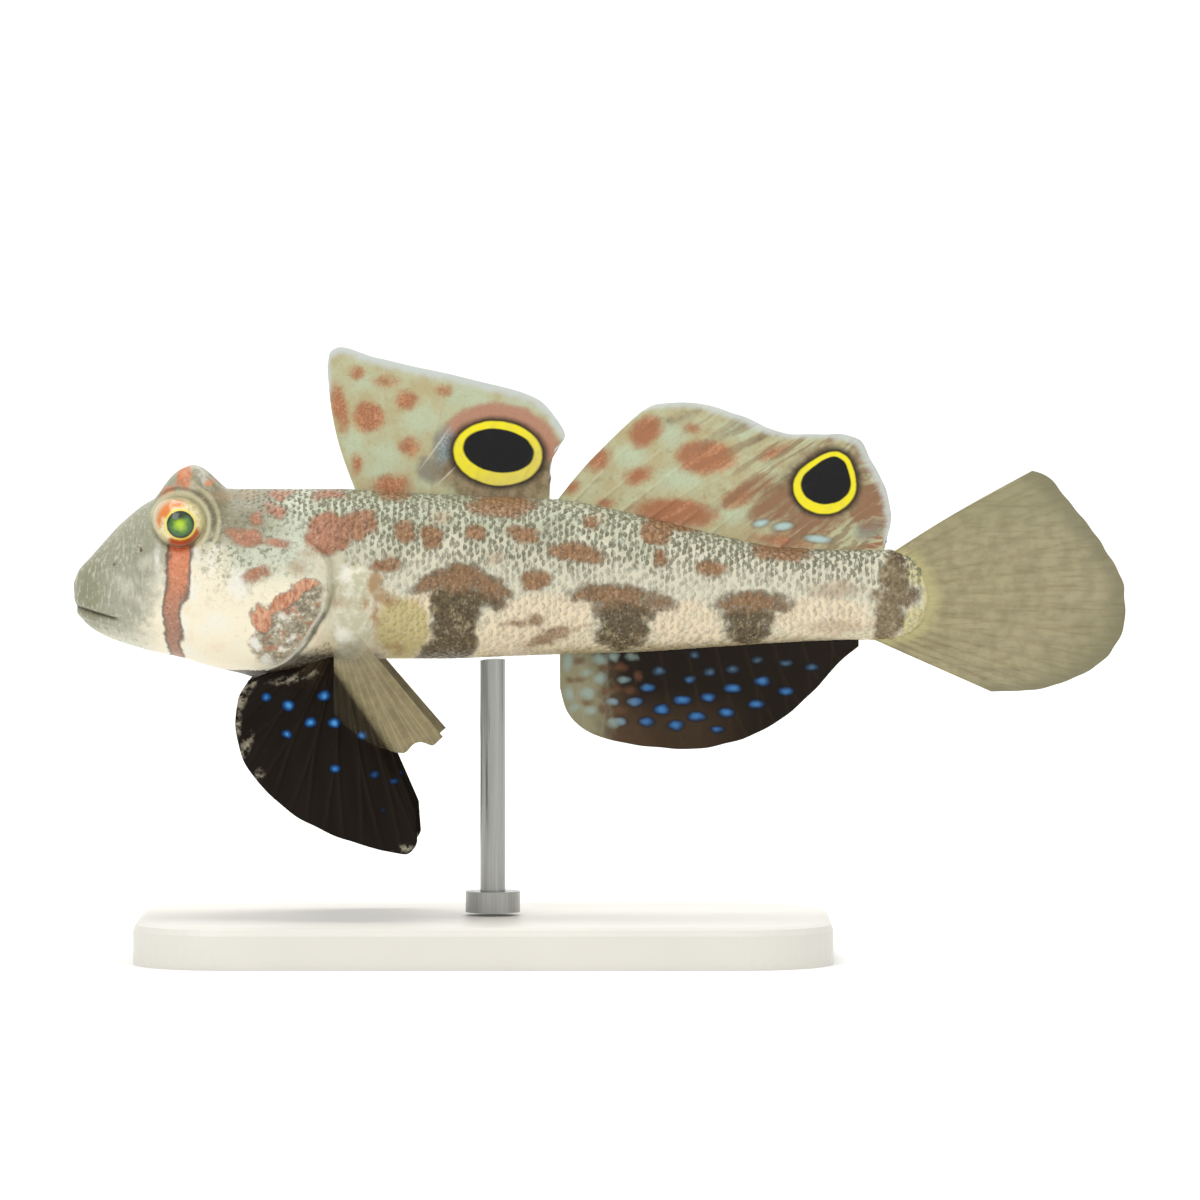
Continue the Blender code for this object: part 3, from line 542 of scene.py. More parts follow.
def makeScales():
    # one closed plate for each scale: root sunk in the skin, rear edge free, in rows from tail to nape
    rng = np.random.default_rng(scaleLook["seed"])
    fine = np.linspace(-np.pi / 2, np.pi / 2, 181)
    roots = []
    rowPlaces = np.arange(scaleLook["firstRow"], 80.4, scaleLook["rowGap"])
    for i, place in enumerate(rowPlaces):
        arc = barePoint(np.full_like(fine, place), fine)
        length = np.concatenate([[0], np.cumsum(np.linalg.norm(np.diff(arc, axis=0), axis=1))])
        length -= np.interp(0, fine, length)
        gap = scaleLook["columnGap"]
        first, last = math.ceil(length[0] / gap), math.floor(length[-1] / gap)
        for j in range(first, last + 1):
            g = (j + 0.5 * (i % 2)) * gap
            if not length[0] < g < length[-1]:
                continue
            for side in (1, -1):
                a = float(np.interp(g + rng.normal(0, scaleLook["jitter"]), length, fine))
                roots.append((place + rng.normal(0, scaleLook["jitter"]), a if side > 0 else np.pi - a))
    roots = np.array(roots)
    s, angle = roots[:, 0], roots[:, 1]
    at = skinPoint(s, angle)
    keep = scaleCover(s, at[:, 2], at[:, 1]) > 0
    s, angle, at = s[keep], angle[keep], at[keep]
    normal = outward(barePoint, s, angle)
    back = skinPoint(s + 0.4, angle) - skinPoint(s - 0.4, angle)
    back -= normal * np.sum(back * normal, axis=1, keepdims=True)
    back /= np.linalg.norm(back, axis=1, keepdims=True)
    across = np.cross(normal, back)
    form = np.array([*scaleLook["outline"], scaleLook["middle"]])
    n, count = len(scaleLook["outline"]), len(s)
    # smaller towards the nape and the tail
    size = rng.uniform(0.93, 1.07, count)
    size = size * np.clip(1.12 - (s - 60) / 90, 0.85, 1.0) * np.clip(s / 24, 0.75, 1)
    pointsTop = np.zeros((count, n + 1, 3))
    for k, (v, u, free) in enumerate(form):
        lift = scaleLook["lift"] * free - 0.05 * (1 - free)
        pointsTop[:, k] = (at + back * ((v * scaleLook["length"] - 0.3) * size)[:, None]
                           + across * (u * scaleLook["width"] * size)[:, None]
                           + normal * lift)
    pointsLow = pointsTop - normal[:, None] * scaleLook["thickness"]
    points = np.concatenate([pointsTop, pointsLow], axis=1)
    per = 2 * (n + 1)
    faces = []
    for c in range(count):
        o = c * per
        for k in range(n):
            after = (k + 1) % n
            faces.append((o + k, o + after, o + n))
            faces.append((o + n + 1 + after, o + n + 1 + k, o + per - 1))
            faces.append((o + after, o + k, o + n + 1 + k, o + n + 1 + after))
    flat = points.reshape(-1, 3)
    scales = meshPiece("scales", flat, faces)
    markFlank(scales, flat)
    store(scales, "edge", np.tile(scaleLook["rim"], 2 * count))
    store(scales, "scaled", np.clip(scaleEdge(flat[:, 0], flat[:, 2], flat[:, 1]) / 3.5, 0.1, 1))
    store(scales, "tone", np.repeat(rng.random(count), per))
    # each scale is a small patch at its root's place, by its distance behind the snout and its angle round the
    # body
    layer = scales.data.uv_layers.new(name="OFBake")
    around = 0.004 + 0.992 * np.mod(angle, 2 * np.pi) / (2 * np.pi)
    patch = np.stack([form[:, 0] - 0.5, form[:, 1]], -1) * 0.003
    uv = np.stack([s / 82.0, around], -1)[:, None] + np.concatenate([patch, patch])[None]
    uv = uv.reshape(-1, 2)
    corners = np.zeros(len(scales.data.loops), np.int32)
    scales.data.loops.foreach_get("vertex_index", corners)
    layer.data.foreach_set("uv", uv[corners].ravel().astype(np.float32))
    print("scales:", count)
    return scales


fins = {
    "first_dorsal_fin": {
        "root": (27.1, 45.2), "edge": 0, "rays": 6, "bias": 1.1, "bow": 0.7,
        "margin": ((24.1, 22.2), (24.3, 23.5), (25.3, 24.1), (28.6, 23.1), (33.5, 22), (39.9, 20.5),
            (44, 19.2), (45.8, 17.3), (46.7, 15.6), (45.6, 14.2), (45.2, 12.4)),
        "perRay": 26, "rows": 88, "branch": 1, "ray": 0.42, "rayWidth": 0.24,
    },
    "second_dorsal_fin": {
        "root": (45.4, 76.8), "edge": 0, "rays": 12, "bias": 1.3, "bow": 0.4,
        "margin": ((52.8, 16.9), (54.2, 18.1), (55.6, 18.7), (58.6, 18.8), (63, 17.7), (68.4, 15.8),
            (72.8, 15.8), (74.5, 15.4), (75.9, 13.1), (77.3, 10.2), (77.7, 7.8), (77.2, 5.6)),
        "perRay": 18, "rows": 84, "branch": 0.5, "ray": 0.34, "rayWidth": 0.2,
    },
    "anal_fin": {
        "root": (46.2, 74.6), "edge": 1, "rays": 12, "bias": 1.1, "bow": 0,
        "margin": ((46.2, -8.4), (46.7, -10.3), (47.6, -11.6), (49.6, -12.9), (54, -13.9), (58.5, -14.2),
            (63, -13.4), (67, -11.5), (70.5, -8.5), (73, -5.7), (74.6, -4.4)),
        "perRay": 16, "rows": 60, "branch": 0.5, "ray": 0.34, "rayWidth": 0.2,
    },
    "caudal_fin": {
        "root": ((77, 4), (78.6, 3.3), (79.8, 0.3), (78.4, -2.8), (75.9, -3.7)),
        "rays": 15, "bow": 0.45,
        "margin": ((91.1, 12.3), (92.2, 12), (94.6, 9.4), (98.1, 4.8), (99.9, 1), (100, -1.7), (98.6, -5),
            (95.4, -7.3), (90.8, -8.6), (87.2, -8.7)),
        "perRay": 16, "rows": 96, "branch": 0.42, "ray": 0.32, "rayWidth": 0.17,
    },
    "pelvic_fin": {
        "root": ((23.4, -5), (24.4, -5.2), (25.4, -5.2), (26.4, -4.8)),
        "rays": 9, "bow": 0,
        "margin": ((16.7, -7.5), (15.7, -9.3), (15.5, -11.6), (16.2, -14.6), (18.4, -17.6), (22.6, -20.8),
            (27.6, -22.7), (31.7, -23.6), (32.8, -22.4), (32.6, -19.6)),
        "splay": 22, "out": 2.3, "cup": 0.9, "perRay": 16, "rows": 90, "branch": 0.4, "ray": 0.4,
        "rayWidth": 0.22,
    },
    "pectoral_fin": {
        "root": ((24.9, -4.2), (25.6, -3.8), (26.2, -3.2), (26.7, -2.6)),
        "rays": 10, "bow": 0,
        "margin": ((24.9, -10.4), (26.4, -11.9), (29, -13.5), (31.4, -14.1), (32.9, -13.1), (34.2, -13.4),
            (35.2, -12.6)),
        "splay": 13, "out": 6.3, "cup": 0.6, "perRay": 14, "rows": 64, "branch": 0.35, "ray": 0.12,
        "rayWidth": 0.14,
    },
}
finLook = {
    "sink": 0.9,
    "wave": 0.45,
    "waveTurns": 1.3,
    "scallop": 0.004,
    "membrane": 0.16,
    "rootFlesh": 0.7,
    "fleshReach": 1.7,
    "part": 0.23,  # how far a branched ray's halves part, in ray gaps
    "joint": 0.22,  # how deep the joints of the rays are
    "pucker": 0.12,
    # markings with an evener edge: how even, and how far their ellipses flow together, mm
    "even": {"ocellus": (0.75, 1.8), "ring": (0.75, 1.8), "silver": (0.9, 0.3)},
}


def finPlace(look, side, u, v):
    # a point of the fin's middle surface: u runs from the first ray to the last, v from root to margin
    if "edge" in look:
        # its root runs along the back (0) or the belly (1)
        first, last = look["root"]
        s = first + (last - first) * u ** look["bias"]
        edge = sections(s)[look["edge"]] + (finLook["sink"] if look["edge"] else -finLook["sink"])
        start = np.stack([s, edge], -1)
        end = along(look["margin"], u ** (1 / look["bias"]))
    else:
        start, end = along(look["root"], u), along(look["margin"], u)
    part = (u * (look["rays"] - 1)) % 1.0
    offRay = 2 * np.minimum(part, 1 - part)
    reach = (v * (1 - finLook["scallop"] * v * np.sin(np.pi * offRay / 2) ** 2))[..., None]
    flat = start + (end - start) * reach
    flat[..., 0] -= (look["bow"] - look["bow"] * u) * np.sin(np.pi * v)
    if "splay" in look:
        level = max(z for _, z in look["root"])
        slope = math.tan(math.radians(look["splay"]))
        y = side * (look["out"] + (level - flat[..., 1]) * slope + look["cup"] * np.sin(np.pi * u) * v * v)
    elif "edge" in look:
        y = finLook["wave"] * v * np.sin(2 * np.pi * (finLook["waveTurns"] * u + 0.15))
    else:
        y = finLook["wave"] * v * np.sin(np.pi * (u * 1.2 + 0.1))
    return np.stack([flat[..., 0], y, flat[..., 1]], -1)


def makeFin(name, look, side, marks):
    gaps = look["rays"] - 1
    columns, rows = gaps * look["perRay"] + 1, look["rows"]
    u, v = np.meshgrid(np.linspace(0, 1, columns), np.linspace(0, 1, rows), indexing="ij")
    middle = finPlace(look, side, u, v)
    du, dv = np.gradient(middle, axis=0), np.gradient(middle, axis=1)
    normal = np.cross(du, dv)
    normal /= np.maximum(np.linalg.norm(normal, axis=-1, keepdims=True), 1e-9)
    gapWidth = np.linalg.norm(du, axis=-1) * look["perRay"]  # mm from one ray to the next
    # rays split in two where they branch, and the two halves part towards the margin
    away = np.abs((u * gaps + 0.5) % 1.0 - 0.5)
    apart = finLook["part"] * ramp(v, look["branch"], 1.01)
    onRay = np.exp(-((np.abs(away - apart) * gapWidth / (look["rayWidth"] * (1 - 0.45 * v))) ** 2))
    joints = 1 - finLook["joint"] * (0.5 + 0.5 * np.sin(v * rows * 0.9)) * (v > 0.2) * (look["branch"] < 1)
    length = np.linalg.norm(dv, axis=-1).sum(axis=1)[:, None]
    flesh = finLook["rootFlesh"] * np.exp(-((v * length / finLook["fleshReach"]) ** 2))
    thick = finLook["membrane"] * (1 - 0.5 * v) + look["ray"] * (1 - 0.62 * v) * onRay * joints + flesh
    thick *= np.where(v > 0.985, 0.5, 1.0)
    half = normal * thick[..., None] / 2
    # a slight puckering of the membrane between rays
    pucker = np.sin(v * 9 + np.floor(u * gaps) * 2.1) * np.sin(np.pi * ((u * gaps) % 1.0)) * v
    middle = middle + normal * (finLook["pucker"] * pucker)[..., None]
    points = np.concatenate([(middle + half).reshape(-1, 3), (middle - half).reshape(-1, 3)])
    count = columns * rows
    faces = []
    for i in range(columns - 1):
        for j in range(rows - 1):
            a, b, c, d = i * rows + j, (i + 1) * rows + j, (i + 1) * rows + j + 1, i * rows + j + 1
            faces.append((a, b, c, d))
            faces.append((count + a, count + d, count + c, count + b))
    rim = ([i * rows for i in range(columns)] + [(columns - 1) * rows + j for j in range(1, rows)]
           + [i * rows + rows - 1 for i in range(columns - 2, -1, -1)] + list(range(rows - 2, 0, -1)))
    for a, b in zip(rim, rim[1:] + rim[:1]):
        faces.append((a, count + a, count + b, b))
    fin = meshPiece(name, points, faces)
    threads = [0.5 + 0.5 * noise.fractal(Vector((a * gaps * 3.1, b * 2.2, 4.0)), 0.6, 2.1, 4)
               for a, b in zip(u.ravel(), v.ravel())]
    face = {"onRay": onRay, "alongRay": v, "acrossFin": u, "offMargin": length * (1 - v), "lean": threads}
    for reading, values in face.items():
        store(fin, reading, np.tile(np.ravel(values), 2))
    store(fin, "behindSnout", points[:, 0])
    store(fin, "aboveAxis", points[:, 2])
    ragged = wander(points, 0.9, 3) * 0.16
    s = points[:, 0] + ragged[:, 0]
    z = points[:, 2] - sightSlope * np.abs(points[:, 1]) + ragged[:, 1]
    for mark, spots in marks.items():
        even, merge = finLook["even"].get(mark, (0.0, 0.3))
        store(fin, mark, patches(spots, s - even * ragged[:, 0], z - even * ragged[:, 1], merge))
    return fin


finMarks = {
    "first_dorsal_fin": {
        "ocellus": ((40.35, 14.2, 3.42, 2.08, -8),),
        "ring": ((40.3, 13.95, 4.22, 3.04, -6),),
        "arch": ((40.6, 14.5, 5.7, 4.2, -10),),
        "halo": ((40.6, 12.7, 6, 3.9, -4),),
        "grey": ((35.3, 14.4, 1.3, 2.4, -10), (33.9, 12.4, 1.4, 1.3)),
        "spots": ((30.2, 10.9, 1.8, 0.95), (25.3, 18.3, 0.75, 2.1, 10), (28, 17.4, 1.5, 1.5),
            (31.6, 19, 1, 0.85), (31.9, 14.6, 1, 0.8), (26.9, 12.9, 0.5, 0.8), (26.9, 21.5, 0.6, 0.5),
            (29.6, 20.8, 0.9, 0.4), (35.2, 19.9, 0.6, 0.45)),
        "mint": ((27.5, 20.9, 1.3, 0.8), (26.6, 15, 1.2, 1), (29.6, 14, 1.5, 1.2), (33, 17, 1.6, 1.2),
            (37.6, 19.2, 2.2, 0.9, -10), (42.2, 18.4, 1.4, 0.6, -20), (29, 12.4, 1.3, 1),
            (33.3, 11.2, 1, 0.8)),
        "pearl": ((35.3, 14.6, 0.75, 1.7, -14),),
        "silver": ((34.4, 14.5, 1.9, 0.07, 54), (35.5, 11.9, 0.95, 0.06, 44)),
    },
    "second_dorsal_fin": {
        "ocellus": ((71.45, 10.95, 2.4, 1.85), (72.1, 12.3, 1.15, 1.35, -25)),
        "ring": ((71.35, 10.75, 2.98, 2.55), (72.2, 12.35, 1.55, 1.75, -25)),
        "arch": ((75.6, 8.8, 2, 2.2, 20), (64.2, 10.4, 2.8, 0.8, 30), (67.2, 9.4, 3.4, 1.5, 30),
            (70, 7.3, 3.6, 1.3, 8)),
        "halo": ((71.5, 11, 3.9, 3.6), (67.9, 10.6, 3, 1.3, 38), (70.4, 8.2, 2.9, 1.1, 10),
            (62.4, 16, 1.3, 0.14, 28), (57.3, 17.2, 0.6, 0.12, 20), (65.2, 15.4, 0.8, 0.12, 28)),
        "grey": ((75.6, 6.6, 1.4, 0.9, 20),),
        "spots": ((57.2, 8.3, 3.9, 1.35, -4), (67.3, 5.6, 2.6, 0.6, -4), (54.3, 16, 1.7, 1.3, 35),
            (49.9, 13.3, 1.3, 0.8, 35), (47.3, 10.7, 0.7, 0.5, 35), (53.6, 11.8, 1.3, 0.8, 25),
            (60, 13.6, 2.8, 1.6), (66.4, 14, 1.3, 0.5, 20), (63.2, 9.8, 1.5, 0.8, 25),
            (58.8, 16.4, 0.6, 0.35), (50.5, 9.2, 0.75, 0.4)),
        "silver": ((65.3, 7.3, 0.65, 0.3, 14), (67.4, 7, 0.85, 0.36, 8), (70.7, 5.8, 1.1, 0.32, -6),
            (69.3, 9.6, 0.2, 0.2)),
        "mint": ((62.3, 8.2, 2.2, 0.9, -4), (53, 13.6, 1.6, 1.2), (57, 15.6, 1.4, 1.2),
            (57.5, 11.6, 2, 1.1), (75.6, 6.7, 1.5, 0.9, 20), (63.4, 16.2, 1.6, 0.8)),
    },
    "anal_fin": {
        "blue": ((55.6, -6.8, 0.6, 0.36), (52.3, -7.6, 0.6, 0.36), (54.5, -8.3, 0.62, 0.38),
            (57.8, -9.5, 0.7, 0.4), (60.3, -9.3, 0.62, 0.38), (62.6, -8.4, 0.7, 0.38),
            (65.4, -7.7, 0.66, 0.36), (51.2, -9.7, 0.5, 0.36), (53.3, -9.7, 0.6, 0.36),
            (55.9, -10.4, 0.6, 0.38), (59.2, -11.1, 0.7, 0.38), (62, -10.7, 0.62, 0.38),
            (64.9, -9.9, 0.62, 0.36), (67.7, -8.7, 0.6, 0.34), (52, -11.6, 0.5, 0.36),
            (54.4, -11.6, 0.56, 0.34), (57.2, -11.9, 0.6, 0.34), (58.5, -7.5, 0.45, 0.28),
            (60.4, -6.8, 0.45, 0.28), (62.6, -6.6, 0.5, 0.28), (64.9, -5.7, 0.45, 0.26),
            (67.7, -6, 0.5, 0.28), (70.1, -6.4, 0.45, 0.26), (59, -5.2, 0.45, 0.26),
            (61.1, -12.3, 0.45, 0.26)),
        "pale": ((46.9, -5.8, 0.45, 0.8), (50, -5.6, 0.65, 0.45), (51.3, -5.4, 0.45, 0.36),
            (53, -5.4, 0.45, 0.3), (50, -7.5, 0.55, 0.45), (48.8, -8.9, 0.55, 0.45),
            (47.1, -8.9, 0.45, 0.65), (49.1, -10.6, 0.55, 0.42), (47.6, -10.3, 0.4, 0.35),
            (48.7, -6.9, 0.4, 0.3), (51.2, -11.7, 0.5, 0.4)),
        "checks": ((48, -5.8, 0.5, 0.35), (48, -7.6, 0.5, 0.3), (47.1, -7.6, 0.35, 0.35),
            (51.9, -6.4, 0.7, 0.36), (50.4, -6.5, 0.5, 0.28), (48.7, -9.7, 0.45, 0.28),
            (50.5, -8.6, 0.5, 0.3), (50.2, -10.4, 0.45, 0.3), (51.9, -10.5, 0.5, 0.28),
            (52.9, -8.6, 0.5, 0.28), (51.5, -8.4, 0.35, 0.3), (53.6, -7.2, 0.4, 0.4)),
    },
    "pelvic_fin": {
        "blue": ((23.9, -9.1, 0.5, 0.42), (20.5, -10, 0.52, 0.42), (22.6, -11.6, 0.46, 0.4),
            (24.9, -11.6, 0.5, 0.42), (20.4, -12.7, 0.42, 0.34), (27.5, -12.8, 0.38, 0.32),
            (25, -15.9, 0.38, 0.32), (28.7, -16.5, 0.28, 0.24), (30.6, -17.1, 0.32, 0.26),
            (18.4, -9.2, 0.36, 0.3), (29.5, -19.8, 0.14, 0.14)),
        "pale": ((16, -9.3, 0.55, 1.2, -18), (16.9, -8, 0.6, 0.4, 30), (15.7, -11.6, 0.35, 1.1),
            (16.4, -14.3, 0.35, 1.3, -20), (17.7, -16.7, 0.3, 0.7, -35), (20.8, -7.5, 1.4, 0.24, 12),
            (22.6, -6.9, 0.5, 0.3), (32, -23.4, 0.8, 0.35, 10)),
    },
}


def makeEye(side):
    # an eyeball with a clear bulge over the pupil
    across, down = 72, 48
    centre = np.array([eye["centre"][0], side * eye["centre"][1], eye["centre"][2]])
    points = []
    for i in range(1, down):
        fromPole = math.pi * i / down
        for k in range(across):
            turn = 2 * math.pi * k / across
            points.append((math.sin(fromPole) * math.cos(turn), side * math.cos(fromPole),
                           math.sin(fromPole) * math.sin(turn)))
    points = np.array(points + [(0, side, 0), (0, -side, 0)])
    (bulgeS, bulgeZ), reach, height = eye["bulge"]
    bulge = bell(np.hypot(points[:, 0] - bulgeS, points[:, 2] - bulgeZ), reach) * (points[:, 1] * side > 0)
    bulge *= height
    points = centre + points * (eye["radius"] + bulge)[:, None]
    last = (down - 2) * across
    faces = [face[::side] for face in tubeFaces(down - 1, across)]
    for k in range(across):
        after = (k + 1) % across
        faces.append((len(points) - 2, k, after)[::side])
        faces.append((len(points) - 1, last + after, last + k)[::side])
    ball = meshPiece("eye_" + ("right" if side > 0 else "left") + "_ball", points, faces)
    s, z = points[:, 0], points[:, 2]
    store(ball, "fromPupil", np.hypot(s - eye["pupil"][0], z - eye["pupil"][1]))
    store(ball, "fromMiddle", np.hypot(s - eye["centre"][0], z - eye["centre"][2]))
    store(ball, "turn", np.arctan2(z - eye["pupil"][1], s - eye["pupil"][0]))
    for name, rows in eye["patches"].items():
        store(ball, name, patches(rows, s, z - sightSlope * np.abs(points[:, 1])))
    return ball


skinLook = {
    "midFlank": (216, 210, 186),
    "back": (192, 196, 170),
    "backLow": (156, 156, 130),
    "belly": (226, 208, 172),
    "bellyEdge": (152, 132, 92),
    "cheek": (240, 231, 206),
    "crown": (142, 136, 106),
    "nape": (124, 116, 88),
    "snout": (163, 163, 144),
    "snoutTip": (138, 138, 112),
    "chin": (212, 210, 190),
    "blush": (232, 208, 176),
    "speck": (96, 100, 78),
    "mint": (198, 202, 180),
    "rim": (216, 219, 200),
    "tanBrown": (164, 128, 84),
    "rust": ((190, 132, 102), (144, 96, 70)),
    "rustRear": ((172, 128, 88), (116, 84, 54)),
    "outline": (74, 54, 36),
    "faint": (172, 146, 116),
    "cap": ((166, 126, 88), (116, 86, 56)),
    "stem": ((108, 90, 54), (60, 46, 26)),
    "fleck": (190, 176, 138),
    "cream": ((240, 224, 190), (224, 202, 172)),
    "tailCream": (206, 196, 142),
    "tan": ((198, 184, 120), (186, 164, 106)),
    "streak": (146, 108, 74),
    "streaks": ((152, 118, 84), (106, 76, 48)),
    "net": ((134, 132, 107), (90, 89, 68)),
    "gill": ((152, 142, 116), (84, 70, 50)),
    "gillRust": ((218, 164, 130), (180, 112, 80)),
    "white": (236, 234, 222),
    "bar": ((130, 112, 78), (74, 48, 28)),
    "stripe": ((166, 124, 102), (214, 136, 98)),
    "stripeTop": (200, 98, 60),
    "stripeEdge": (70, 42, 32),
    "lobe": (186, 182, 152),
    # painted shade for creases: the lid's fold over the eye and the nostrils' bores
    "creaseShade": (96, 78, 50),
    "fold": (208, 202, 164),
    "orange": ((214, 136, 92), (190, 112, 72)),
    # painted shade under the head and behind the gill cover
    "throatShade": (58, 50, 36),
}


def makeSkinFinish():
    f = Finish("gobySkin", skinLook)
    s, z, rim, scaled, gap = map(f.read, ("behindSnout", "aboveAxis", "edge", "scaled", "behindGill"))
    fine, broad, mottle = f.grain(0.28, 3, 0.6), f.grain(2.4, 3), f.grain(0.8, 4, 0.62)
    drift, patchy = broad - 0.5, mottle - 0.5
    f.colour = f.blend(z.fade(-5.5, -1), "belly", "midFlank")
    f.lay((z + drift * 5).fade(3.5, 8.5), "back")
    f.lay((broad * 1.4 - 0.35) * z.fade(0, 8), "backLow")
    nape = f.blend((z + patchy * 3).fade(0.5, 4.5), "cheek", "mint")
    f.lay((s + drift * 3).fade(24, 21), nape)
    head = f.blend((z + patchy * 4).fade(2.5, 7.5), "cheek", "crown")
    snout = f.blend((s + patchy * 3).fade(4.5, 1), "snout", "snoutTip")
    snout = f.blend((z + patchy * 3).fade(1.5, 5) * 0.45, snout, "snoutTip")
    head = f.blend((s - z * 0.35 + patchy * 4).fade(9.5, 6), head, snout)
    head = f.blend(z.fade(-1.8, -4.5) * s.fade(9.5, 5), head, "chin")
    cheek = s.fade(9, 11)
    head = f.blend(broad.fade(0.5, 0.7) * cheek * 0.5, head, "blush")
    head = f.blend(broad.fade(0.48, 0.3) * cheek * 0.5, head, "white")
    f.lay((s + drift * 3).fade(17, 13), head)
    f.mark("snoutPatch", 0.5, 0.4, 0.5, "chin")
    # streaks over the snout, and painted shade on the skin behind and under the gill cover and under the head
    streaks, fore, throatShade = f.grain(0.5, 3, stretch=(0.55, 1, 2.2)), s.fade(9, 6), s.fade(30.5, 27)
    f.lay(streaks.fade(0.52, 0.7) * fore * 0.5, "chin")
    f.lay(streaks.fade(0.46, 0.3) * fore * 0.55, "snoutTip")
    f.lay((z + patchy * 1.5).fade(-4, -5.4) * gap.fade(-0.2, 0.4) * throatShade * 0.92, "throatShade")
    f.lay((z - s * 0.14).fade(-8.9, -9.2) * s.fade(14.9, 15.9) * throatShade * 0.94, "throatShade")
    # mottling, finer and stronger on the back
    strength = z.fade(-2, 6) * s.fade(10, 14)
    f.lay(mottle.fade(0.54, 0.7) * strength * 0.4, "crown")
    f.lay(mottle.fade(0.46, 0.3) * strength * 0.4, "mint")
    f.lay((z + drift * 4).fade(4.6, 7.6) * s.fade(12, 14) * s.fade(22, 17) * 0.8, "nape")
    speck = (f.grain(0.42, 4, 0.7) + patchy * 0.35).fade(0.5, 0.64)
    f.lay(speck * strength * s.fade(26, 18) * 0.75, "speck")
    f.mark("lobe", 0.4, 0.4, 0.9, f.blend(mottle.fade(0.4, 0.66) * 0.5, "lobe", "white"))
    f.mark("cream", 0.5, 0.6, 0.85, mix=broad)
    f.mark("tailCream", 0.4, 0.4, 0.9)
    lowEdge = (z + 4.9 - (s - 42) * 0.045 + patchy * 1.2).fade(0.7, -0.5)
    f.lay(lowEdge * s.fade(38, 43) * s.fade(75, 68) * 0.75, "bellyEdge")
    # scales: dark specks in the middles of most on the back, fewer and fainter below, and paler free edges
    high = (z + drift * 4 + (s - 30) * 0.05).fade(1.5, 6)
    tweed = f.grain(0.46, 2.5, 0.6, stretch=(0.7, 1, 1.45))
    flecks = (1 - rim).fade(0.1, 0.7) * 0.26 + tweed.fade(0.35, 0.65) * 0.74 + f.read("tone") * 0.16
    f.lay(tweed.fade(0.48, 0.34) * scaled * (high * 0.35 + 0.3), "rim")
    f.lay(tweed.fade(0.5, 0.66) * scaled * (1 - high) * 0.35, "faint")
    f.lay((flecks + high * 0.17).fade(0.16, 0.62) * scaled * (high * 0.82 + 0.08), "net")
    f.lay(flecks.fade(0.5, 1.05) * scaled * (high * 0.5 + 0.03), "net", 1)
    f.mark("faint", 0.6, 0.6, 0.62)
    f.mark("pale", 0.5, 0.5, 0.75, "white")
    f.mark("tan", 0.5, 0.4, 0.85, mix=mottle)
    f.mark("tanBrown", 0.4, 0.4, 0.85)
    f.mark("lines", 0.3, 0.4, 0.5, "streak")
    f.mark("streaks", 0.4, 0.5, 0.85, mix=tweed.fade(0.4, 0.65))
    # saddles: dark olive-brown below with pale flecks, running up into rusty caps
    texture = (fine * 0.4 + tweed * 0.5 + mottle * 0.4).fade(0.42, 0.88)
    threads = f.grain(0.5, 3, 0.6, stretch=(0.7, 1, 2.6)) * 0.5 + f.grain(1.1, 3, 0.6) * 0.5
    stem = f.blend(threads.fade(0.52, 0.64) * 0.5, f.tint("stem", texture), "fleck")
    f.mark("saddles", 0.3, 0.5, 0.6, "stem", 1, grow=0.1)
    saddle = f.blend(f.inside("caps", 0.9, 0.9), stem, f.tint("cap", texture))
    f.mark("saddles", 0.35, 0.5, 0.92, saddle, grow=-0.12)
    f.mark("rust", 0.3, 0.5, 0.5, "rustRear", 1, grow=0.12)
    rust = f.blend(s.fade(22, 32), f.tint("rust", texture), f.tint("rustRear", texture))
    f.mark("rust", 0.3, 0.5, 0.92, rust, grow=-0.1)
    # the patch on the gill cover, the tail's bar and the stripe under the eye
    gill, spots = f.inside("gill", 0.4, 0.6), f.grain(0.55, 4, 0.65)
    f.lay(gill * 0.85, "gill", spots.fade(0.42, 0.62))
    f.lay(gill * spots.fade(0.42, 0.32) * 0.7, "white")
    f.lay(gill * f.grain(0.8, 3).fade(0.54, 0.66) * 0.6, "gillRust", 1)
    f.mark("gillRust", 0.16, 0.5, 0.6, "gill", 1, size=0.5, grow=0.16)
    f.mark("gillRust", 0.2, 0.5, 0.9, mix=tweed.fade(0.35, 0.65), size=0.5)
    bar, low = f.inside("bar", 0.4, 0.5), z - 0.3
    rear = (s + low * low * 0.12).fade(78.6, 80.6)
    f.lay(bar * 0.92, "bar", (texture * 0.5 + rear * 0.6).least(1))
    f.lay(bar * mottle.fade(0.5, 0.36) * s.fade(78.6, 77) * 0.5, "fleck")
    stripe = f.blend(z.fade(4, 5.2) * 0.8, f.tint("stripe", z.fade(-3, 4.5)), "stripeTop")
    stripe = f.blend(fine.fade(0.5, 0.7) * 0.3, stripe, "stripeEdge")
    f.mark("stripe", 0.16, 0.2, 0.85, "stripeEdge", grow=0.14)
    f.mark("stripe", 0.2, 0.2, 1, stripe, grow=-0.14)
    f.mark("orange", 0.3, 0.4, 0.85, mix=mottle.fade(0.4, 0.65))
    f.mark("white", 0.3, 0.55, 0.85, size=0.5)
    # painted shade in the nostrils' bores
    f.mark("dark", 0.1, 0.08, 0.85, "creaseShade")
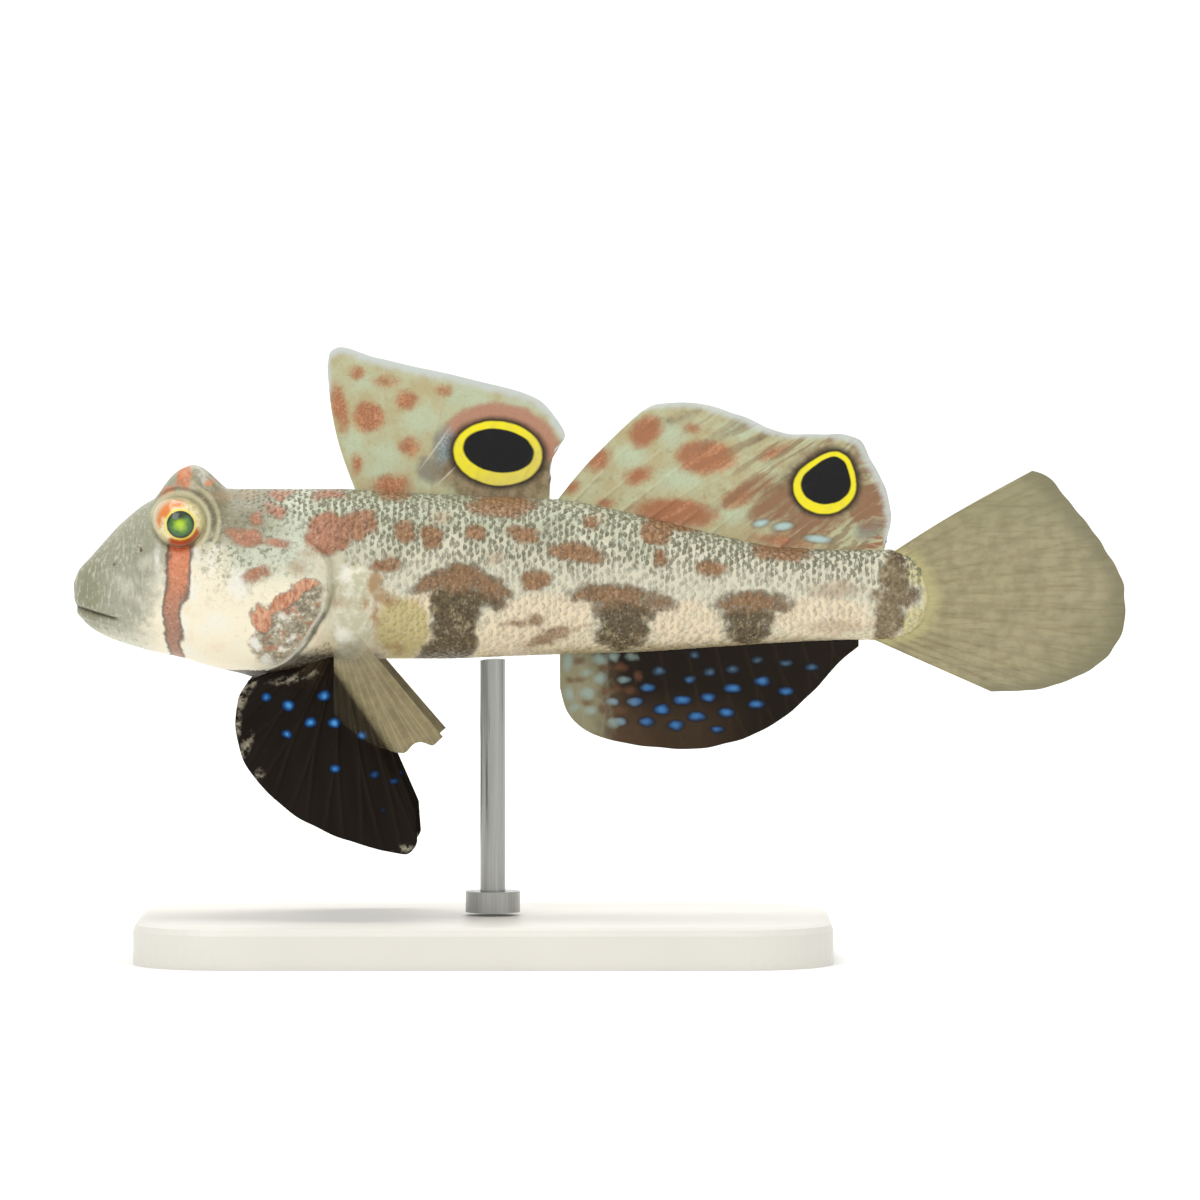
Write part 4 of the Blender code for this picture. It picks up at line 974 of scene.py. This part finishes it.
    # the mouth's line as painted shade, folds of the lids with painted shade in the crease over the eye, and
    # painted shade in the groove behind the gill cover
    (frontS, frontZ), (cornerS, cornerZ) = mouth["front"], mouth["corner"]
    aboveMouth = z - frontZ - (s - frontS) * ((cornerZ - frontZ) / (cornerS - frontS))
    # painted shade of the mouth's groove, a thin dark line
    f.lay(aboveMouth.line(30) * s.fade(cornerS + 0.3, cornerS - 1.2) * 0.6, "outline")
    lid = f.read("fromEye")
    f.lay(lid.fade(3.15, 2.8) * (z + (s - 10) * 0.6).fade(5.9, 7.2) * 0.75, "fold")
    # painted shade in the lid's fold, a dark arc over the eye
    f.lay((lid - 3.25).line(20) * (z + (s - 10) * 0.5).fade(8, 9.4) * 0.55, "creaseShade")
    f.lay((lid - 3.75).line(14) * s.fade(11.6, 12.6) * z.fade(4.2, 5.6) * 0.5, "fold")
    # painted shade in the groove behind the gill cover
    f.lay((gap - 0.35).line(16) * (z.fade(2, -2.5) * 0.6 + 0.2), "speck")
    f.lay((gap + 0.1).line(22) * z.fade(0.5, -2) * 0.8, "white")
    # fine grain over all
    f.lay(fine.fade(0.58, 0.78) * 0.2, "outline")
    f.lay(fine.fade(0.44, 0.28) * 0.22, "white")
    f.set(Subsurface_Weight=0.1, Subsurface_Radius=(0.6, 0.35, 0.2), Subsurface_Scale=0.0008)
    return f.close(0.34 + fine * 0.18, fine * 0.5 + mottle, 0.35, 0.08, Specular_IOR_Level=0.3,
                   Coat_Weight=0.12, Coat_Roughness=0.2)


dorsalLook = {
    "ground": (186, 188, 152),
    "groundWarm": (180, 164, 122),
    "margin": (198, 204, 200),
    "mint": (186, 198, 168),
    "halos": ((140, 118, 90), (102, 84, 56)),
    "rust": ((198, 140, 102), (164, 104, 72)),
    "grey": (130, 124, 110),
    "arch": ((178, 130, 106), (144, 108, 80)),
    "halo": (104, 86, 48),
    "ring": ((240, 226, 34), (216, 200, 96)),
    "black": (12, 14, 14),
    "outline": (44, 34, 24),
    "silver": (176, 200, 196),
    "pearl": ((120, 134, 136), (156, 172, 172)),
    "line": (222, 212, 200),
    "ray": (200, 202, 168),
    "rearRed": (152, 96, 70),
}


def makeDorsalFinish(name, second):
    f = Finish(name, dorsalLook)
    s, z, v, ray, lean = map(f.read, ("behindSnout", "aboveAxis", "alongRay", "onRay", "lean"))
    mottle, fine, soft = f.grain(0.9, 4, 0.6), f.grain(0.25, 3), f.grain(2.2)
    f.colour = f.blend((soft * 0.8 + mottle * 0.2).fade(0.34, 0.64) * 0.8, "ground", "groundWarm")
    if second:
        f.lay(mottle.fade(0.52, 0.72) * 0.2, "halo")
    f.mark("mint", 0.9, 0.6, 0.8)
    f.lay(ray * 0.3, "ray")
    if second:
        stripes = f.grain(0.9, stretch=(3, 1, 0.5)).fade(0.45, 0.6)
        f.lay(stripes * s.fade(73.8, 75.5) * 0.9, "rearRed")
    f.mark("grey", 0.5, 0.35, 0.85)
    threads, dense = (0.6, 0.6) if second else (0.2, 0.45)
    f.mark("spots", 0.7, 0.5, 0.5, "groundWarm", grow=0.15)
    f.mark("spots", 0.55, 0.5, 0.92, "rust", (lean * threads + fine * 0.4 + 0.1).fade(0.3, dense))
    if second:
        # streaks of colour lie along the rays, stronger to the rear
        f.lay(lean.fade(0.5, 0.68) * (s + z * 0.5).fade(62, 76) * 0.75, "halos")
    f.mark("halo", 0.8, 0.6, 0.85, "halos", mottle.fade(0.4, 0.62))
    paler = mottle.fade(0.45, 0.7) * 0.35
    if second:
        f.mark("arch", 0.4, 0.4, lean.fade(0.4, 0.62) * 0.45 + 0.5, mix=1)
        f.mark("silver", 0.25, 0.1, 0.5, "outline", grow=0.16)
        f.mark("silver", 0.22, 0.1)
    else:
        f.mark("arch", 0.4, 0.4, (z - 13.3 - (40.3 - s) * 0.12).fade(0, 1.2) * 0.95)
        f.mark("pearl", 0.5, 0.3, 0.85, mix=fine.fade(0.4, 0.65))
        f.mark("silver", 0.1, 0, colour="line")
        paler = (paler + (s * 0.6 - z - 10.6).fade(-2, 3.5) * 0.8).least(1)
    f.lay(fine.fade(0.5, 0.75) * 0.18, "halo")
    f.mark("ring", 0.5, 0.15, colour="outline", grow=0.5)
    f.mark("ring", 0.12, 0.05, mix=paler)
    f.mark("ocellus", 0.1, 0.04, colour="black")
    edge = (f.read("offMargin") + (mottle - 0.5) * 0.8).fade(1.15, 0.2) * v.fade(0.6, 0.75)
    f.lay(edge * (0.85 if second else 0.95), "margin")
    if not second:
        f.lay(f.read("acrossFin").fade(0.05, 0) * v.fade(0.72, 0.84) * 0.9, "margin")
    return f.close(0.42 + fine * 0.16, fine + ray, 0.25, 0.06, Specular_IOR_Level=0.25)


darkLook = {
    "front": (138, 134, 106),
    "middle": (78, 60, 42),
    "black": (22, 15, 8),
    "blue": ((26, 84, 150), (84, 156, 214)),
    "blueAnal": ((50, 96, 150), (66, 80, 92)),
    "halo": (10, 18, 28),
    "pale": (146, 164, 156),
    "check": (102, 68, 48),
    "cream": (168, 160, 138),
}


def makeAnalFinish():
    f = Finish("analFinMembrane", darkLook)
    s, z, ray = map(f.read, ("behindSnout", "aboveAxis", "onRay"))
    mottle, fine = f.grain(0.8, 4, 0.6), f.grain(0.22, 3)
    place = s + (mottle - 0.5) * 2.4
    f.colour = f.blend(place.fade(48.6, 52), "front", "middle")
    low = z.fade(-8, -12) * s.fade(66, 58)
    f.lay((place + (z + 9) * 0.5).fade(49.5, 54.5) * (1 - low * 0.5) * 0.95, "black")
    f.lay(ray * s.fade(52.5, 48.5) * 0.45, "cream")
    f.mark("checks", 0.35, 0.3, 0.75, "check")
    f.mark("pale", 0.35, 0.25, 0.8)
    f.lay(ray * 0.12, "middle")
    blue = f.tint("blueAnal", (z * 1.3 - (s - 60) * 0.1).fade(-10.8, -8.6))
    blue = f.blend(s.fade(54.8, 51.2) * 0.7, blue, "pale")
    f.mark("blue", 0.2, 0.1, s.fade(50.5, 54) * 0.8, "halo", grow=0.22)
    f.mark("blue", 0.24, 0.1, 0.92, blue, grow=-0.02)
    f.mark("blue", 0.18, 0.1, s.fade(52, 56) * 0.35, mix=1, grow=-0.2)
    return f.close(0.4 + fine * 0.15, fine + ray, 0.25, 0.06, Specular_IOR_Level=0.12)


def makePelvicFinish():
    f = Finish("pelvicFinMembrane", darkLook)
    s, z, ray, u, v = map(f.read, ("behindSnout", "aboveAxis", "onRay", "acrossFin", "alongRay"))
    mottle, fine = f.grain(0.7, 4, 0.62), f.grain(0.22, 3)
    f.colour = f.blend(ray * 0.08, "black", "middle")
    f.lay((v + (mottle - 0.5) * 0.3).fade(0.34, 0.05) * u.fade(0.5, 0.05) * 0.75, "middle")
    f.mark("pale", 0.4, 0.45, (mottle + (ray - 0.5) * 0.12).fade(0.36, 0.58) * 0.85, "cream")
    f.mark("blue", 0.2, 0.1, 0.8, "halo", grow=0.2)
    bright = 1 - s.fade(26.4, 28) * z.fade(-14.4, -15.4) * 0.6
    f.mark("blue", 0.2, 0.1, bright)
    f.mark("blue", 0.16, 0.1, bright, mix=1, grow=-0.22)
    return f.close(0.42 + fine * 0.15, fine + ray, 0.25, 0.06, Specular_IOR_Level=0.08)


clearLook = {
    "caudal": ((170, 160, 124), (150, 142, 108)),
    "caudalTop": (150, 146, 108),
    "ray": (128, 116, 84),
    "edge": (124, 118, 88),
    "root": (192, 184, 132),
    "dusk": (128, 124, 88),
    "pectoral": ((143, 131, 95), (127, 115, 83)),
    "paleRay": (214, 208, 184),
}


def makeCaudalFinish():
    f = Finish("caudalFinMembrane", clearLook)
    s, z, ray, v = map(f.read, ("behindSnout", "aboveAxis", "onRay", "alongRay"))
    mottle, fine, streak = f.grain(1.4, 4, 0.6), f.grain(0.22, 3), f.grain(0.35, 3, stretch=(9, 1, 1))
    f.colour = f.tint("caudal", mottle.fade(0.35, 0.7))
    f.lay(z.fade(5, 10) * 0.6, "caudalTop")
    f.lay((s - z).fade(95, 104) * 0.6, "dusk")
    f.lay(streak.fade(0.5, 0.72) * 0.4, "ray")
    f.lay(ray * 0.3, "ray")
    f.lay(f.read("offMargin").fade(2.6, 0.3) * 0.7, "edge")
    f.lay((v + (mottle - 0.5) * 0.06).fade(0.17, 0.08) * 0.8, "root")
    return f.close(0.42 + fine * 0.15, fine + ray, 0.25, 0.06, Alpha=0.97 - v * (1 - ray) * 0.14,
                   Specular_IOR_Level=0.25)


def makePectoralFinish():
    f = Finish("pectoralFinMembrane", clearLook)
    s, z, ray, v = map(f.read, ("behindSnout", "aboveAxis", "onRay", "alongRay"))
    mottle, fine = f.grain(0.9, 4, 0.6), f.grain(0.22, 3)
    f.colour = f.tint("pectoral", mottle.fade(0.35, 0.7))
    f.lay(ray * 0.08, "paleRay")
    f.lay(v.fade(0.35, 0.1) * 0.2, "paleRay")
    # its front rays are clear, so that the dark fin behind them shows
    rear = (s - 25.8 + (z + 7.2) * 0.72).fade(-0.7, 0.6)
    clear = 0.03 + rear * v.fade(0.05, 0.3) * 0.86
    return f.close(0.4 + fine * 0.12, fine + ray, 0.2, 0.05, Specular_IOR_Level=0.25,
                   Alpha=(clear + ray * v * (0.05 + rear * 0.1)).least(1))


eyeLook = {
    "iris": ((238, 230, 182), (216, 202, 146)),
    "orange": (220, 124, 44),
    "red": (186, 84, 44),
    "rim": (206, 200, 166),
    "ring": (236, 218, 84),
    "pupilEdge": (14, 34, 8),
    "pupil": ((176, 212, 14), (42, 104, 14)),
    "shade": (96, 78, 46),
}


def makeEyeFinish():
    f = Finish("gobyEye", eyeLook)
    away, fromMiddle, turn = map(f.read, ("fromPupil", "fromMiddle", "turn"))
    mottle, fine = f.grain(0.5, 4, 0.6), f.grain(0.16, 3)
    f.colour = f.tint("iris", mottle.fade(0.38, 0.66))
    f.lay(fine.fade(0.5, 0.7) * 0.3, "orange")
    f.mark("eyeOrange", 0.25, 0.3, 1, "orange", size=0.4)
    f.mark("eyeRed", 0.25, 0.3, 1, "red", size=0.4)
    f.mark("eyeShade", 0.3, 0.2, 0.7, "shade", size=0.4)
    f.lay(fromMiddle.fade(1.9, 2.4) * 0.75, "rim")
    f.lay((away + (fine - 0.5) * 0.16).fade(1.6, 1.4) * 0.85, "ring")
    wavy = away + (fine - 0.5) * 0.1
    f.lay(wavy.fade(1.34, 1.26), "pupilEdge")
    glow = f.tint("pupil", (away + (mottle - 0.5) * 0.7).fade(0.1, 0.95))
    glow = f.blend((turn - 1.7).line(1) * away.fade(0.3, 0.8), glow, "pupilEdge")
    f.lay(wavy.fade(1.2, 0.96), glow)
    return f.close(0.3 + fine * 0.1, mottle, 0.1, 0.03, Coat_Weight=1, Coat_Roughness=0.02, Coat_IOR=1.45)


standLook = {
    "plate": ((226, 223, 214), (214, 211, 203)),
    "steel": ((182, 182, 178), (150, 150, 146)),
}


def makePlateFinish():
    f = Finish("plateLacquer", standLook)
    cloud = f.grain(14, 3)
    f.colour = f.tint("plate", cloud)
    return f.close(0.4 + cloud * 0.12, f.grain(0.35, 3), 0.15, 0.03, Coat_Weight=0.15, Coat_Roughness=0.3)


def makeSteelFinish():
    f = Finish("brushedSteel", standLook)
    lines = f.grain(0.12, 3, stretch=(1, 1, 60))
    f.colour = f.tint("steel", lines)
    return f.close(0.24 + lines * 0.16, lines, 0.12, 0.02, Metallic=1)


def settle(piece, finish, slot, *nodes):
    # gives a piece its finish, hangs it on the root body, and hides the nodes of the solid model it stands for
    finish.wear(piece)
    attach(piece, "root")
    if nodes:
        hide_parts(*nodes)


camera = {
    "elevation": 2.0,
    "distance": 0.9,
    "height": 0.034,
    "lens": 283.96,
}
studio = {
    "floor": ((244, 244, 242), (225, 225, 222)),
    "bend": 0.9,  # the floor starts to curve up here, m behind the fish
    "bendRadius": 0.7,
    "height": 3.0,
    "halfWidth": 3.0,
    "world": 0.62,
    "lights": (  # name, place, aim, size, watts
        ("keyLight", (-0.35, -0.75, 0.7), (0.0, 0.0, 0.034), 0.6, 3.0),
        ("fillLight", (0.6, -0.7, 0.25), (0.0, 0.0, 0.034), 0.8, 0.8),
        ("topLight", (0.0, 0.1, 0.9), (0.0, 0.0, 0.034), 0.8, 1.4),
        ("backdropLight", (0.0, 0.3, 1.3), (0.0, 1.6, 0.3), 1.2, 16.0),
    ),
}


def makeStudio():
    scene = bpy.context.scene
    lens = bpy.data.cameras.new("camera")
    lens.lens, lens.sensor_width, lens.sensor_fit = camera["lens"], 36.0, "HORIZONTAL"
    lens.clip_start, lens.clip_end = 0.01, 20.0
    made = bpy.data.objects.new("camera", lens)
    lift = math.radians(camera["elevation"])
    aim = Vector((0, 0, camera["height"]))
    made.location = aim + camera["distance"] * Vector((0, -math.cos(lift), math.sin(lift)))
    made.rotation_euler = (aim - made.location).to_track_quat("-Z", "Y").to_euler()
    scene.collection.objects.link(made)
    scene.camera = made
    # a floor that curves up into a backdrop
    bend, radius, steps = studio["bend"], studio["bendRadius"], 12
    profile = [(-2.5, 0.0), (bend, 0.0)]
    for k in range(1, steps + 1):
        turn = math.pi / 2 * k / steps
        profile.append((bend + radius * math.sin(turn), radius - radius * math.cos(turn)))
    profile.append((bend + radius, studio["height"]))
    points = [(x, y, z) for x in (-studio["halfWidth"], studio["halfWidth"]) for y, z in profile]
    n = len(profile)
    mesh = bpy.data.meshes.new("floor")
    mesh.from_pydata(points, [], [(k, k + n, k + n + 1, k + 1) for k in range(n - 1)])
    mesh.polygons.foreach_set("use_smooth", [True] * len(mesh.polygons))
    floor = bpy.data.objects.new("floor", mesh)
    scene.collection.objects.link(floor)
    f = Finish("studioPaper", studio)
    paper = f.grain(3.0, 3.0)
    f.set(Base_Color=f.tint("floor", paper * 0.06), Roughness=0.9 + paper * 0.05)
    f.wear(floor)
    for name, place, target, size, watts in studio["lights"]:
        lamp = bpy.data.lights.new(name, "AREA")
        lamp.size, lamp.energy = size, watts
        holder = bpy.data.objects.new(name, lamp)
        holder.location = place
        holder.rotation_euler = (Vector(target) - Vector(place)).to_track_quat("-Z", "Y").to_euler()
        scene.collection.objects.link(holder)
    world = bpy.data.worlds.new("studioAir")
    world.use_nodes = True
    air = world.node_tree.nodes["Background"].inputs
    air["Color"].default_value = (1.0, 1.0, 1.0, 1.0)
    air["Strength"].default_value = studio["world"]
    scene.world = world
    scene.view_settings.view_transform = "Standard"


makeStudio()
print("studio set")
skinFinish = makeSkinFinish()
settle(makeSkin(), skinFinish, "skin", "head", "trunk", "tail_stalk")
print("skin made")
settle(makeScales(), skinFinish, "skin", "head", "trunk", "tail_stalk")
eyeFinish = makeEyeFinish()
for side, name in ((-1, "eye_left"), (1, "eye_right")):
    settle(makeEye(side), eyeFinish, "eye", name)
print("eyes made")
finFinishes = {
    "first_dorsal_fin": (makeDorsalFinish("firstDorsalMembrane", False), "dorsal_fins"),
    "second_dorsal_fin": (makeDorsalFinish("secondDorsalMembrane", True), "dorsal_fins"),
    "anal_fin": (makeAnalFinish(), "dark_fins"),
    "caudal_fin": (makeCaudalFinish(), "clear_fins"),
    "pelvic_fin": (makePelvicFinish(), "dark_fins"),
    "pectoral_fin": (makePectoralFinish(), "clear_fins"),
}
for name, look in fins.items():
    finish, slot = finFinishes[name]
    sides = ((-1, "_left"), (1, "_right")) if "splay" in look else ((1, ""),)
    for side, ending in sides:
        fin = makeFin(name + ending + "_membrane", look, side, finMarks.get(name, {}))
        settle(fin, finish, slot, name + ending)
print("fins made")
for name, finish in (("stand_base", makePlateFinish()), ("stand_rod", makeSteelFinish())):
    finish.wear(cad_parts[name])
print("stand finished")
